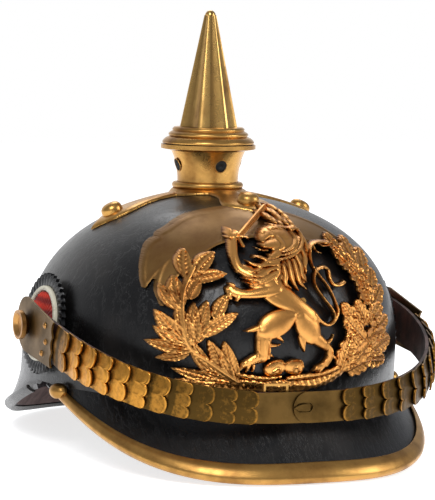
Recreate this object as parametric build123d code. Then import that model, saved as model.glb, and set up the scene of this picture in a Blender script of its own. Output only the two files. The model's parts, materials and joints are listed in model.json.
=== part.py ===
from build123d import *
from functools import cache
from math import cos, degrees, hypot, pi, radians, sin, sqrt
import os

# Pickelhaube, an officer's spiked leather helmet, in millimetres.
# The wearer looks along -Y, the wearer's right is -X, and +Z is up.
# The origin is on the plane that the two peaks rest on, under the spike.

# Skull
shell_half_width = 96.0
shell_half_length = 117.0
shell_rim_height = 37.0
shell_rise = 97.0
shell_wall = 3.0
shell_set_forward = 1.0
dome_lean = 14.0
dome_fullness = 2.9
dome_profile_spans = 12
crown_vent_radius = 9.0

# Gaps between pieces that lie on each other
seat_gap = 0.15
layer_gap = 0.3
running_gap = 0.05
pivot_side_gap = 0.4
cut_overrun = 60.0
solve_rounds = 30

# Peaks
front_peak_half_width = 96.0
front_peak_reach = 147.0
front_peak_root = 12.0
front_peak_power = 2.5
front_peak_rise_power = 1.5
rear_peak_half_width = 99.0
rear_peak_reach = 146.7
rear_peak_root = 14.0
rear_peak_power = 2.2
rear_peak_rise_power = 1.8
peak_wall = 3.0
peak_turn = 88.6
peak_sections = 17
lining_wall = 0.9
lining_margin_share = 0.06

# Brass edge of the front peak
trim_wall = 0.7
trim_band = 9.5
trim_end_band = 5.0
trim_lip = 3.5
trim_turn = 81.0
boss_length = 12.0
boss_width = 8.5
boss_height = 4.2
boss_seat_lift = 0.45

# Rolled edge of the neck guard
binding_wall = 0.9
binding_band = 5.0
binding_end_band = 3.0
binding_lip = 3.0
binding_turn = 84.0

# Cross on the crown
cross_wall = 1.7
cross_hub_radius = 23.0
cross_arm_reach = 66.0
cross_leaf_radius = 51.0
cross_leaf_half_width = 13.0
cross_waist_radius = 31.0
cross_waist_half_width = 8.5
cross_seat_height = 136.2
cross_seat_radius = 18.2
stud_circle_radius = 53.0
stud_radius = 5.75
stud_height = 5.0
stud_collar = 0.8
stud_shank_radius = 1.6
stud_shank_length = 9.0
nut_radius = 4.6
nut_height = 3.4
nut_sides = 6
nut_depth_step = 0.02
arm_count = 4

# Neck and its socket
base_ring_radius = 18.2
base_ring_inner_radius = 16.4
base_ring_height = 3.2
neck_low_radius = 16.2
neck_waist_height = 139.0
neck_high_radius = 19.8
neck_flare_height = 156.0
neck_lip_radius = 25.3
neck_lip_height = 157.2
neck_top_height = 159.4
neck_wall = 1.2
vent_radius = 3.1
vent_height = 148.5
vent_turn = 12.0
vent_count = 4
tang_radius = 5.0
tang_length = 16.5
socket_radius = 9.0
socket_height = 8.0

# Spike
flange_radius = 24.2
flange_step_height = 4.2
flange_groove = 0.8
flange_top_radius = 17.4
flange_height = 9.0
spike_base_radius = 15.6
spike_tip_radius = 3.3
spike_tip_height = 231.0
flute_count = 6
flute_depth_share = 0.14
spike_turn = 17.0
spike_bore_depth = 10.0

# Emblem on the front
emblem_width = 100.0
emblem_height = 100.0
emblem_back = 2.3
emblem_branch_front = 4.2
emblem_lion_front = 5.6
banner_back = 0.3
banner_front = 1.9
post_radius = 1.6
post_depth = 5.0
post_shares = ((-0.50, 0.32), (0.40, 0.34), (0.02, 0.50))
banner_high_shares = (
    (-0.50, 0.82), (-0.30, 0.905), (0.0, 0.94), (0.25, 0.875), (0.40, 0.775), (0.525, 0.65))
banner_low_shares = (
    (0.47, 0.61), (0.36, 0.70), (0.22, 0.76), (0.0, 0.81), (-0.30, 0.775), (-0.46, 0.69))
tail_outer_shares = ((-0.50, 0.82), (-0.60, 0.74), (-0.665, 0.62), (-0.67, 0.55))
tail_inner_shares = ((-0.67, 0.55), (-0.63, 0.63), (-0.55, 0.70), (-0.46, 0.71))

# Spine down the back
spine_half_width = 7.5
spine_wall = 1.4
spine_screw_radius = 3.2
spine_screw_height = 1.8
spine_screw_shares = (0.42, 0.62)

# Hinge line of the chin scales, and the cockades on it
hinge_y = -10.0
hinge_z = 67.0
cockade_rim_radius = 26.5
cockade_tooth_depth = 2.2
cockade_teeth = 40
cockade_ring_radius = 19.7
cockade_centre_radius = 16.8
cockade_back = 0.3
cockade_rim_wall = 3.2
cockade_ring_wall = 3.9
cockade_centre_wall = 3.5
cockade_bore_radius = 4.4
post_shank_radius = 3.0
post_inner_reach = 87.9
post_collar_radius = 5.0
rosette_radius = 7.6
rosette_height = 4.6
rosette_rim = 1.3
rosette_dish_depth = 2.6
dish_floor_share = 0.72
dish_wall_share = 0.75
rosette_nut_radius = 5.6
rosette_nut_height = 2.0

# Chin scales
strap_side_clearance = 7.0
strap_half_width = shell_half_width + strap_side_clearance
strap_front_clearance = 14.0
strap_front_reach = shell_half_length + strap_front_clearance
strap_front_height = 36.5
strap_power = 2.6
strap_wall = 1.7
strap_side_width = 21.0
strap_front_width = 14.5
strap_spans = 240
strap_sections = 12
scale_count = 11
scale_wall = 0.7
scale_overlap = 5.0
scale_step = 1.35
scale_arch_radius = 45.0
scale_side_width = 23.0
scale_front_width = 15.5
lobe_depth_share = 0.36
first_scale_edge = 52.7
right_scale_pitch = 10.8
left_scale_pitch = 11.8
scales_per_group = 2
end_plate_wall = 1.0
end_plate_round = 14.5
end_plate_reach = 38.0
end_plate_front_width = 24.0
end_plate_wave = 1.6
end_plate_waves = 3
end_plate_step = 0.6
rivet_radius = 1.9
rivet_height = 1.1
rivet_shares = ((0.72, 0.62), (0.78, -0.05), (0.66, -0.66))
clasp_wall = 0.8
clasp_tail = 8.0
right_clasp_reach = 5.0
left_clasp_reach = 9.0
clasp_step = 1.15
hook_width = 3.6
hook_length = 8.0
hook_wall = 0.8
hook_offset = 1.0
keyhole_length = 9.0
keyhole_radius = 2.3
buckle_width = 15.0
buckle_length = 13.0
buckle_wire = 1.2
buckle_run = 171.0
buckle_rise = 4.0

# Linings inside the skull
sweatband_wall = 2.1
sweatband_low = 1.0
sweatband_height = 36.0
sweatband_lean = 8.0
silk_depth = 10.0
silk_wall = 0.8
silk_seam_gap = 0.3
silk_throat_radius = 24.0


# Shapes of the skull

def lean_at(rise_share):
    """Y of the middle of the skull at a share of its rise."""
    return -shell_set_forward - dome_lean * rise_share


@cache
def round_dome(lift):
    """Round stand-in for the skull, moved outward by lift: spread() gives it its oval."""
    half_width = shell_half_width + lift
    rise = shell_rise + lift
    points = []
    for k in range(dome_profile_spans + 1):
        turn = pi / 2 * k / dome_profile_spans
        points.append((half_width * cos(turn), rise * sin(turn) ** (2 / dome_fullness)))
    outline = Spline(*points, tangents=((0, 1), (-1, 0)))
    section = make_face([outline, Line((0, rise), (0, 0)), Line((0, 0), (half_width, 0))])
    return revolve(Plane.XZ * section, axis=Axis.Z).solid()


@cache
def round_layer(back, front):
    """The skin between two lifted skull surfaces, before it is spread."""
    return round_dome(front) - round_dome(back)


def spread(shape):
    """Stretch a round stand-in to the skull's oval and lean it forward."""
    stretch = shell_half_length / shell_half_width
    return shape.solid().transform_geometry(Matrix([
        [1, 0, 0, 0],
        [0, stretch, -dome_lean / shell_rise, -shell_set_forward],
        [0, 0, 1, shell_rim_height],
        [0, 0, 0, 1],
    ]))


def squeezed(shape):
    """Take a tool from the helmet's space back to the round stand-in's."""
    shrink = shell_half_width / shell_half_length
    lean = dome_lean / shell_rise
    return shape.solid().transform_geometry(Matrix([
        [1, 0, 0, 0],
        [0, shrink, shrink * lean, shrink * (shell_set_forward - lean * shell_rim_height)],
        [0, 0, 1, -shell_rim_height],
        [0, 0, 0, 1],
    ]))


def dome_half_length(lift):
    """Half length of the lifted skull at its rim."""
    return (shell_half_width + lift) * shell_half_length / shell_half_width


def dome_height(x, y, lift):
    """Height of the lifted skull surface over a plan point."""
    height = shell_rise
    for _ in range(solve_rounds):
        side = x / (shell_half_width + lift)
        front = (y - lean_at(height / shell_rise)) / dome_half_length(lift)
        height = (shell_rise + lift) * (1 - side ** 2 - front ** 2) ** (1 / dome_fullness)
    return shell_rim_height + height


def dome_reach(x, z, lift):
    """Length from the skull's middle to its lifted surface, and the middle's Y."""
    height = z - shell_rim_height
    upward = (height / (shell_rise + lift)) ** dome_fullness
    sideways = (x / (shell_half_width + lift)) ** 2
    return dome_half_length(lift) * sqrt(1 - upward - sideways), lean_at(height / shell_rise)


def dome_front(x, z, lift):
    """Point of the lifted skull surface on the wearer's front."""
    reach, middle = dome_reach(x, z, lift)
    return Vector(x, middle - reach, z)


def dome_rear(x, z, lift):
    """Point of the lifted skull surface on the wearer's back."""
    reach, middle = dome_reach(x, z, lift)
    return Vector(x, middle + reach, z)


def dome_side(side, y, z, lift):
    """Point of the lifted skull surface on one side."""
    height = z - shell_rim_height
    upward = (height / (shell_rise + lift)) ** dome_fullness
    front = (y - lean_at(height / shell_rise)) / dome_half_length(lift)
    return Vector(side * (shell_half_width + lift) * sqrt(1 - upward - front ** 2), y, z)


def dome_normal(point):
    """Outward direction of the skull surface at a point on it."""
    rise_share = (point.Z - shell_rim_height) / shell_rise
    off_middle = (point.Y - lean_at(rise_share)) / shell_half_length ** 2
    steep = dome_fullness * rise_share ** (dome_fullness - 1) / shell_rise
    return Vector(
        2 * point.X / shell_half_width ** 2,
        2 * off_middle,
        steep + 2 * off_middle * dome_lean / shell_rise,
    ).normalized()


def dome_plane(point):
    """Plane that lies on the skull surface at a point, with its normal outward."""
    return Plane(origin=point, z_dir=dome_normal(point))


def round_pin(plane, radius, low, high):
    """Cylinder along a plane's normal, from low to high above the plane."""
    return plane * Pos(0, 0, low) * Cylinder(
        radius, high - low, align=(Align.CENTER, Align.CENTER, Align.MIN))


def hex_nut(plane, low, high, radius, bore):
    """Six-sided nut between two heights over a plane."""
    profile = RegularPolygon(radius, nut_sides) - Circle(bore)
    return plane * Pos(0, 0, low) * extrude(profile, high - low)


def inner_share(point):
    """Grows from 0 inside the skull to 1 on its inner surface."""
    height = point.Z - shell_rim_height
    side = point.X / (shell_half_width - shell_wall)
    front = (point.Y - lean_at(height / shell_rise)) / dome_half_length(-shell_wall)
    upward = (height / (shell_rise - shell_wall)) ** dome_fullness
    return side ** 2 + front ** 2 + upward


def nut_depth(plane):
    """Depth under a plane on the skull at which all of a nut's corners come inside."""
    corners = []
    for k in range(nut_sides):
        turn = 2 * pi * k / nut_sides
        corners.append(plane.x_dir * cos(turn) * nut_radius + plane.y_dir * sin(turn) * nut_radius)
    depth = shell_wall
    while max(inner_share(plane.origin + corner - plane.z_dir * depth) for corner in corners) > 1:
        depth += nut_depth_step
    return depth + layer_gap + seat_gap


def stud_planes():
    """Planes on the skull under the four studs of the cross."""
    planes = []
    for k in range(arm_count):
        turn = 2 * pi * k / arm_count
        x = stud_circle_radius * cos(turn)
        y = stud_circle_radius * sin(turn)
        planes.append(dome_plane(Vector(x, y, dome_height(x, y, 0))))
    return planes


def spine_planes():
    """Planes on the skull under the screws of the rear spine."""
    heights = [shell_rim_height + share * shell_rise for share in spine_screw_shares]
    return [dome_plane(dome_rear(0, z, 0)) for z in heights]


def emblem_planes():
    """Planes on the skull under the threaded posts of the emblem."""
    planes = []
    for x_share, z_share in post_shares:
        x = x_share * emblem_width
        z = shell_rim_height + z_share * emblem_height
        planes.append(dome_plane(dome_front(x, z, 0)))
    return planes


# Skull

def fastener_bores(planes, radius):
    """Cutters for the shanks through the skull and what lies on it."""
    return [squeezed(round_pin(plane, radius + seat_gap, -stud_shank_length, stud_height))
            for plane in planes]


def crown_bore():
    """Cutter for the airway under the neck."""
    base = Plane(origin=(0, 0, shell_rim_height + shell_rise / 2))
    return squeezed(round_pin(base, crown_vent_radius, 0, shell_rise + cut_overrun))


def skull_shell():
    """Leather skull with the bores for its fittings."""
    shell = round_layer(-shell_wall, 0) - crown_bore()
    for bore in fastener_bores(stud_planes() + spine_planes(), stud_shank_radius):
        shell -= bore
    for bore in fastener_bores(emblem_planes(), post_radius):
        shell -= bore
    for side in (-1, 1):
        shell -= squeezed(round_pin(
            hinge_plane(side), post_shank_radius + seat_gap,
            post_inner_reach - rosette_nut_radius, strap_half_width))
    return spread(shell)


# Peaks

def ellipse_rim(x, y, inset):
    """Point of the skull's rim that lies in the direction of a plan point."""
    share_x = x / shell_half_width
    share_y = (y + shell_set_forward) / shell_half_length
    size = hypot(share_x, share_y)
    return Vector(
        share_x / size * (shell_half_width - inset),
        share_y / size * (shell_half_length - inset) - shell_set_forward,
        shell_rim_height)


def peak_edge(peak, turn, edge_height):
    """Top edge point of a peak's leather, at a turn in radians from its middle."""
    across = abs(sin(turn))
    ahead = abs(cos(turn))
    size = (across ** peak["power"] + ahead ** peak["power"]) ** (-1 / peak["power"])
    forward = ahead * size
    x = peak["half_width"] * sin(turn) * size
    y = peak["root"] + (peak["reach"] - peak["root"]) * forward
    fall = (1 - forward ** (peak["power"] / 2)) ** peak["rise_power"]
    z = edge_height + (shell_rim_height - edge_height) * fall
    return Vector(x, peak["side"] * y, z)


def peak_frame(peak, turn, edge_height):
    """Rim point, edge point, direction down the slope and direction under the slope."""
    edge = peak_edge(peak, turn, edge_height)
    rim = ellipse_rim(edge.X, edge.Y, 0)
    slope = (edge - rim).normalized()
    flat = Vector(slope.X, slope.Y, 0).normalized()
    level = slope.dot(flat)
    under = flat * slope.Z - Vector(0, 0, level)
    return rim, edge, slope, under, flat


@cache
def edge_rest_height(side):
    """Height of a peak's top edge that lays its covered edge on the ground plane."""
    peak = peaks()[side]
    height = peak_wall
    for _ in range(solve_rounds):
        rim, edge, slope, under, flat = peak_frame(peak, 0, height)
        cover = peak["cover"] + seat_gap
        height = (peak_wall + cover) * -under.Z - cover * slope.Z
    return height


def peaks():
    """The sizes of the two peaks: -1 is the front one, 1 the neck guard."""
    return {
        -1: dict(
            side=-1, half_width=front_peak_half_width, reach=front_peak_reach,
            root=front_peak_root, power=front_peak_power, rise_power=front_peak_rise_power,
            cover=trim_wall, band=trim_band, end_band=trim_end_band, lip=trim_lip,
            turn=trim_turn),
        1: dict(
            side=1, half_width=rear_peak_half_width, reach=rear_peak_reach,
            root=-rear_peak_root, power=rear_peak_power, rise_power=rear_peak_rise_power,
            cover=binding_wall, band=binding_band, end_band=binding_end_band,
            lip=binding_lip, turn=binding_turn),
    }


def section_turns(limit):
    """Evenly spaced turns in radians from one end of a peak to the other."""
    last = peak_sections - 1
    return [radians(limit) * (2 * k / last - 1) for k in range(peak_sections)]


def section_face(points):
    """Flat face through a list of corners."""
    return Face(Wire.make_polygon(points, close=True))


def visor(side):
    """Leather peak: a seam flange under the rim and a sloping blade."""
    peak = peaks()[side]
    height = edge_rest_height(side)
    sections = []
    for turn in section_turns(peak_turn):
        rim, edge, slope, under, flat = peak_frame(peak, turn, height)
        inner = rim - flat * shell_wall
        down = Vector(0, 0, -peak_wall)
        knee = -(peak_wall + peak_wall * under.Z) / slope.Z
        sections.append(section_face([
            inner, rim, edge, edge + under * peak_wall,
            rim + under * peak_wall + slope * knee, inner + down]))
    return loft(sections)


def visor_lining(side):
    """Thin leather glued under a peak, inside its covered edge."""
    peak = peaks()[side]
    height = edge_rest_height(side)
    sections = []
    for turn in section_turns(peak["turn"]):
        rim, edge, slope, under, flat = peak_frame(peak, turn, height)
        length = (edge - rim).length
        end_at = length - peak["lip"] - peak["cover"]
        start_at = length * lining_margin_share + peak_wall
        if end_at - start_at < lining_wall:
            continue
        low = under * lining_wall
        base = rim + under * (peak_wall + seat_gap)
        start = base + slope * start_at
        end = base + slope * end_at
        sections.append(section_face([start, end, end + low, start + low]))
    return loft(sections)


def edge_cover(side):
    """Channel wrapped round a peak's edge: a band on top, the edge and a lip below."""
    peak = peaks()[side]
    height = edge_rest_height(side)
    wall = peak["cover"]
    sections = []
    for turn in section_turns(peak["turn"]):
        rim, edge, slope, under, flat = peak_frame(peak, turn, height)
        fade = abs(turn) / radians(peak["turn"])
        band = peak["band"] + (peak["end_band"] - peak["band"]) * fade ** 2
        lip = min(peak["lip"], band)
        tip = edge + slope * seat_gap
        top = under * -seat_gap
        low = under * (peak_wall + seat_gap)
        sections.append(section_face([
            tip + slope * wall + top - under * wall,
            tip - slope * band + top - under * wall,
            tip - slope * band + top,
            tip + top,
            tip + low,
            tip - slope * lip + low,
            tip - slope * lip + low + under * wall,
            tip + slope * wall + low + under * wall]))
    return loft(sections)


def trim_end_bosses():
    """Two oval domed studs on the ends of the brass edge."""
    peak = peaks()[-1]
    height = edge_rest_height(-1)
    bosses = []
    for side in (-1, 1):
        turn = radians(trim_turn) * side
        rim, edge, slope, under, flat = peak_frame(peak, turn, height)
        centre = edge - slope * (trim_end_band / 2) - under * (trim_wall + boss_seat_lift)
        seat = Plane(origin=centre, x_dir=slope, z_dir=under * -1)
        ball = Sphere(boss_length / 2) - Pos(0, 0, -boss_length) * Box(
            2 * boss_length, 2 * boss_length, 2 * boss_length)
        squeeze = Matrix([
            [boss_width / boss_length, 0, 0, 0],
            [0, 1, 0, 0],
            [0, 0, 2 * boss_height / boss_length, 0],
            [0, 0, 0, 1],
        ])
        bosses.append(seat * ball.solid().transform_geometry(squeeze))
    return Compound(children=bosses)


# Cross, neck and their fasteners

def cross_plan():
    """Plan of the cross: a hub and four leaf-shaped arms with pointed ends."""
    start = cross_hub_radius / 2
    upper = Spline(
        (start, cross_waist_half_width),
        (cross_waist_radius, cross_waist_half_width),
        (cross_leaf_radius, cross_leaf_half_width),
        (cross_arm_reach, 0),
        tangents=((1, 0), (1, -1)))
    lower = upper.mirror(Plane.XZ)
    back = Line((start, cross_waist_half_width), (start, -cross_waist_half_width))
    arm = make_face([upper, lower, back])
    plan = Circle(cross_hub_radius)
    for k in range(arm_count):
        plan += Rot(0, 0, 360 * k / arm_count) * arm
    return plan


def cruciform_base():
    """Brass cross that follows the crown, with the raised seat of the neck."""
    low = shell_rim_height + shell_rise / 2
    block = Pos(0, 0, low) * extrude(cross_plan(), shell_rise)
    cross = round_layer(layer_gap, layer_gap + cross_wall) & squeezed(block)
    seat = Pos(0, 0, low) * Cylinder(
        cross_seat_radius, cross_seat_height - low,
        align=(Align.CENTER, Align.CENTER, Align.MIN))
    cross += squeezed(seat) - round_dome(layer_gap + cross_wall / 2)
    cross -= crown_bore()
    for bore in fastener_bores(stud_planes(), stud_shank_radius):
        cross -= bore
    return spread(cross)


def cross_studs():
    """Domed studs on the arms, each with a threaded shank through the skull."""
    low = layer_gap + cross_wall + layer_gap
    collar = low + stud_collar
    profile = make_face([
        Polyline(
            (0, low + stud_height), (0, low - stud_shank_length),
            (stud_shank_radius, low - stud_shank_length), (stud_shank_radius, low),
            (stud_radius, low), (stud_radius, collar)),
        Spline((stud_radius, collar), (0, low + stud_height), tangents=((0, 1), (-1, 0)))])
    stud = revolve(Plane.XZ * profile, axis=Axis.Z).solid()
    return Compound(children=[plane * stud for plane in stud_planes()])


def inner_nuts(planes, bore):
    """Nuts inside the skull on shanks that come through it."""
    nuts = []
    for plane in planes:
        top = -nut_depth(plane)
        nuts.append(hex_nut(plane, top - nut_height, top, nut_radius, bore))
    return Compound(children=nuts)


def neck_base_ring():
    """Rounded ring round the foot of the neck."""
    low = cross_seat_height
    high = cross_seat_height + base_ring_height
    profile = make_face([
        Line((base_ring_inner_radius, low), (base_ring_radius, low)),
        ThreePointArc(
            (base_ring_radius, low),
            (base_ring_radius + base_ring_height / 4, (low + high) / 2),
            (base_ring_radius - seat_gap, high)),
        Line((base_ring_radius - seat_gap, high), (base_ring_inner_radius, high)),
        Line((base_ring_inner_radius, high), (base_ring_inner_radius, low))])
    return revolve(Plane.XZ * profile, axis=Axis.Z).solid()


def neck_outline(inset):
    """Edges of the neck's flared side from its foot up to the lip."""
    foot = (neck_low_radius - inset, cross_seat_height)
    waist = (neck_low_radius - inset, neck_waist_height)
    flare = (neck_high_radius - inset, neck_flare_height)
    return [Line(foot, waist), Spline(waist, flare, tangents=((0, 1), (1, 2)))], foot, flare


def spike_neck():
    """Hollow neck that flares to a lip, with four vents and a closed top."""
    outer, foot, flare = neck_outline(0)
    inner, inner_foot, inner_flare = neck_outline(neck_wall)
    skirt = make_face(outer + inner + [Line(foot, inner_foot), Line(flare, inner_flare)])
    deck_low = neck_flare_height
    lip = make_face(Polyline(
        (tang_radius + seat_gap, deck_low),
        (neck_high_radius, deck_low),
        (neck_lip_radius, neck_lip_height),
        (neck_lip_radius, neck_top_height),
        (tang_radius + seat_gap, neck_top_height),
        close=True))
    neck = revolve(Plane.XZ * skirt, axis=Axis.Z) + revolve(Plane.XZ * lip, axis=Axis.Z)
    for k in range(vent_count):
        turn = vent_turn - 90 + 360 * k / vent_count
        drill = Pos(0, 0, vent_height) * Rot(0, 90, turn) * Cylinder(
            vent_radius, neck_lip_radius, align=(Align.CENTER, Align.CENTER, Align.MIN))
        neck -= drill
    return neck.solid()


def spike_socket():
    """Threaded bush under the neck's top that takes the spike's screw."""
    high = neck_flare_height - seat_gap
    bush = Pos(0, 0, high - socket_height) * Cylinder(
        socket_radius, socket_height, align=(Align.CENTER, Align.CENTER, Align.MIN))
    bore = Pos(0, 0, high - socket_height) * Cylinder(
        tang_radius + running_gap, socket_height,
        align=(Align.CENTER, Align.CENTER, Align.MIN))
    return (bush - bore).solid()


# Spike

def spike_tang():
    """Screw that carries the spike down into the socket."""
    low = neck_top_height + layer_gap - tang_length
    high = neck_top_height + layer_gap + spike_bore_depth
    return Pos(0, 0, low) * Cylinder(
        tang_radius, high - low, align=(Align.CENTER, Align.CENTER, Align.MIN))


def tang_bore():
    """Space for the screw in the spike, with a running fit."""
    return Pos(0, 0, neck_top_height) * Cylinder(
        tang_radius + running_gap, layer_gap + spike_bore_depth + layer_gap,
        align=(Align.CENTER, Align.CENTER, Align.MIN))


def spike_flange():
    """Stepped foot of the spike that closes on the neck's lip."""
    low = neck_top_height + layer_gap
    step = low + flange_step_height
    high = low + flange_height
    profile = make_face([
        Line((0, low), (flange_radius, low)),
        Spline(
            (flange_radius, low), (flange_radius - flange_groove, (low + step) / 2),
            (flange_top_radius + 2 * flange_groove, step), tangents=((0, 1), (-1, 0))),
        Line((flange_top_radius + 2 * flange_groove, step),
             (flange_top_radius + 2 * flange_groove, step + flange_groove)),
        Spline(
            (flange_top_radius + 2 * flange_groove, step + flange_groove),
            (flange_top_radius, high), tangents=((1, 1), (-1, 1))),
        Line((flange_top_radius, high), (0, high)),
        Line((0, high), (0, low))])
    return (revolve(Plane.XZ * profile, axis=Axis.Z) - tang_bore()).solid()


def flute_face(radius, height):
    """Section of the spike: six hollow arcs that meet in sharp ridges."""
    edges = []
    for k in range(flute_count):
        start = 2 * pi * k / flute_count
        end = 2 * pi * (k + 1) / flute_count
        middle = (start + end) / 2
        flat = radius * cos(pi / flute_count)
        dip = flat - radius * flute_depth_share
        edges.append(ThreePointArc(
            (radius * cos(start), radius * sin(start)),
            (dip * cos(middle), dip * sin(middle)),
            (radius * cos(end), radius * sin(end))))
    return Pos(0, 0, height) * make_face(edges)


def spike_cone():
    """Fluted spike, from its flange up to a small round tip."""
    low = neck_top_height + layer_gap + flange_height + seat_gap
    high = spike_tip_height - spike_tip_radius
    blade = loft(
        [flute_face(spike_base_radius, low), flute_face(spike_tip_radius, high)], ruled=True)
    tip = Pos(0, 0, high) * Sphere(spike_tip_radius * cos(pi / flute_count))
    spike = Rot(0, 0, spike_turn - 90) * (blade + tip)
    return (spike - tang_bore()).solid()


# Emblem

def emblem_point(x_share, z_share):
    """Point of the emblem's drawing square, whose foot is at the skull's rim."""
    return (x_share * emblem_width, shell_rim_height + z_share * emblem_height)


def limb(*stations):
    """Outline of a limb: round stations joined by their common tangents."""
    shape = None
    for first, second in zip(stations, stations[1:]):
        discs = []
        for x_share, z_share, radius_share in (first, second):
            x, z = emblem_point(x_share, z_share)
            discs.append(Pos(x, z) * Circle(radius_share * emblem_width))
        span = make_hull(discs[0].edges() + discs[1].edges())
        shape = span if shape is None else shape + span
    return shape


def leaf(x_share, z_share, length_share, width_share, turn):
    """Pointed leaf outline that starts at a point and lies at a turn in degrees."""
    length = length_share * emblem_width
    bulge = width_share * emblem_width / 2
    upper = ThreePointArc((0, 0), (length / 2, bulge), (length, 0))
    lower = ThreePointArc((length, 0), (length / 2, -bulge), (0, 0))
    x, z = emblem_point(x_share, z_share)
    return Pos(x, z) * Rot(0, 0, turn) * make_face([upper, lower])


def front_block(sketch):
    """A drawing in the X-Z plane, run out to the front."""
    reach = shell_half_length + dome_lean + cut_overrun
    return squeezed(extrude(Plane.XZ * sketch, reach))


def on_front(sketch, back, front):
    """Skin of the skull's front under a drawing, before it is spread."""
    return round_layer(back, front) & front_block(sketch)


def lion_sketch():
    """Rampant lion: trunk, mane, head, crown, four legs, tail and sword."""
    shapes = [
        limb((-0.08, 0.60, 0.095), (-0.04, 0.50, 0.060), (0.03, 0.39, 0.085)),
        limb((-0.03, 0.75, 0.105), (-0.08, 0.66, 0.130)),
        limb((0.01, 0.80, 0.070), (-0.06, 0.76, 0.055)),
        limb((0.02, 0.83, 0.055), (0.06, 0.85, 0.050)),
        limb((-0.10, 0.60, 0.060), (-0.24, 0.545, 0.035), (-0.33, 0.555, 0.035)),
        limb((-0.16, 0.64, 0.070), (-0.26, 0.68, 0.045), (-0.25, 0.79, 0.042)),
        limb((-0.01, 0.40, 0.080), (-0.17, 0.40, 0.065), (-0.21, 0.36, 0.050)),
        limb((-0.20, 0.36, 0.050), (-0.21, 0.24, 0.038), (-0.26, 0.15, 0.038)),
        limb((0.03, 0.37, 0.085), (0.08, 0.32, 0.050), (0.15, 0.30, 0.030)),
        limb((0.15, 0.30, 0.032), (0.14, 0.20, 0.032), (0.08, 0.14, 0.035)),
    ]
    tail = [
        (0.10, 0.43, 0.018), (0.16, 0.39, 0.018), (0.20, 0.42, 0.016), (0.20, 0.49, 0.012),
        (0.15, 0.59, 0.012), (0.12, 0.67, 0.012), (0.15, 0.75, 0.012), (0.27, 0.78, 0.014)]
    fork = [(0.18, 0.45, 0.012), (0.11, 0.54, 0.012), (0.10, 0.62, 0.012), (0.15, 0.67, 0.014)]
    sword = [(-0.25, 0.79, 0.030), (-0.20, 0.83, 0.016), (-0.08, 0.90, 0.012)]
    return combine(shapes + [limb(*tail), limb(*fork), limb(*sword)])


def combine(shapes):
    """One outline from several that touch."""
    whole = shapes[0]
    for shape in shapes[1:]:
        whole += shape
    return whole


def laurel_sketch():
    """Laurel branch on the wearer's right: a stem with pairs of long leaves."""
    stem = [(-0.30, 0.12, 0.020), (-0.47, 0.24, 0.018), (-0.57, 0.42, 0.016), (-0.55, 0.60, 0.014)]
    shapes = [limb(*stem)]
    leaves = [
        (-0.32, 0.13, 0.19, 0.075, 97), (-0.34, 0.13, 0.22, 0.075, 165),
        (-0.40, 0.19, 0.16, 0.075, 75), (-0.42, 0.20, 0.20, 0.080, 185),
        (-0.50, 0.27, 0.20, 0.085, 45), (-0.50, 0.27, 0.20, 0.085, 165),
        (-0.54, 0.34, 0.19, 0.085, 72), (-0.55, 0.36, 0.15, 0.085, 130),
        (-0.56, 0.44, 0.18, 0.080, 45), (-0.57, 0.46, 0.17, 0.080, 110),
        (-0.55, 0.57, 0.20, 0.085, 35), (-0.55, 0.57, 0.14, 0.080, 95)]
    for spec in leaves:
        shapes.append(leaf(*spec))
    return combine(shapes)


def oak_sketch():
    """Oak branch on the wearer's left: broad round-lobed leaves along a stem."""
    shapes = [limb((0.20, 0.14, 0.025), (0.38, 0.22, 0.05), (0.47, 0.40, 0.05), (0.42, 0.58, 0.045),
                   (0.34, 0.68, 0.04), (0.28, 0.76, 0.03))]
    clumps = [
        (0.26, 0.19, 0.075), (0.36, 0.17, 0.070), (0.45, 0.26, 0.085), (0.52, 0.33, 0.060),
        (0.27, 0.38, 0.070), (0.36, 0.40, 0.080), (0.50, 0.46, 0.065), (0.25, 0.46, 0.055),
        (0.46, 0.53, 0.075), (0.44, 0.66, 0.060), (0.33, 0.70, 0.060)]
    for x_share, z_share, radius_share in clumps:
        x, z = emblem_point(x_share, z_share)
        shapes.append(Pos(x, z) * Circle(radius_share * emblem_width))
    return combine(shapes)


def foot_sketch():
    """Ground under the lion: a knotted bow on a strip of rock."""
    strip = limb((-0.36, 0.125, 0.030), (0.02, 0.115, 0.030), (0.22, 0.140, 0.020))
    bow = limb((-0.15, 0.18, 0.045), (-0.05, 0.19, 0.045))
    return strip + bow


def front_emblem():
    """Gilt plate: lion between a laurel and an oak branch."""
    lion = on_front(lion_sketch(), emblem_back, emblem_lion_front)
    wreath_plan = combine([laurel_sketch(), oak_sketch(), foot_sketch()])
    wreath = on_front(wreath_plan, emblem_back, emblem_branch_front)
    return spread(lion + wreath)


def banner_scroll():
    """Flat ribbon in an arch over the lion, cut short under the cross, with a hanging tail."""
    high = [emblem_point(*share) for share in banner_high_shares]
    low = [emblem_point(*share) for share in banner_low_shares]
    ribbon = make_face([
        Spline(*high), Line(high[-1], low[0]), Spline(*low), Line(low[-1], high[0])])
    outer = [emblem_point(*share) for share in tail_outer_shares]
    inner = [emblem_point(*share) for share in tail_inner_shares]
    tail = make_face([Spline(*outer), Spline(*inner), Line(inner[-1], outer[0])])
    banner = on_front(ribbon + tail, banner_back, banner_front)
    shadow = extrude(offset(cross_plan(), layer_gap), shell_rise)
    banner -= squeezed(Pos(0, 0, shell_rim_height + shell_rise / 2) * shadow)
    return spread(banner)


def emblem_posts():
    """Threaded posts between the emblem's back and the inside of the skull."""
    posts = [round_pin(plane, post_radius, -shell_wall - post_depth, emblem_back - seat_gap)
             for plane in emblem_planes()]
    return Compound(children=posts)


# Spine

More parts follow.
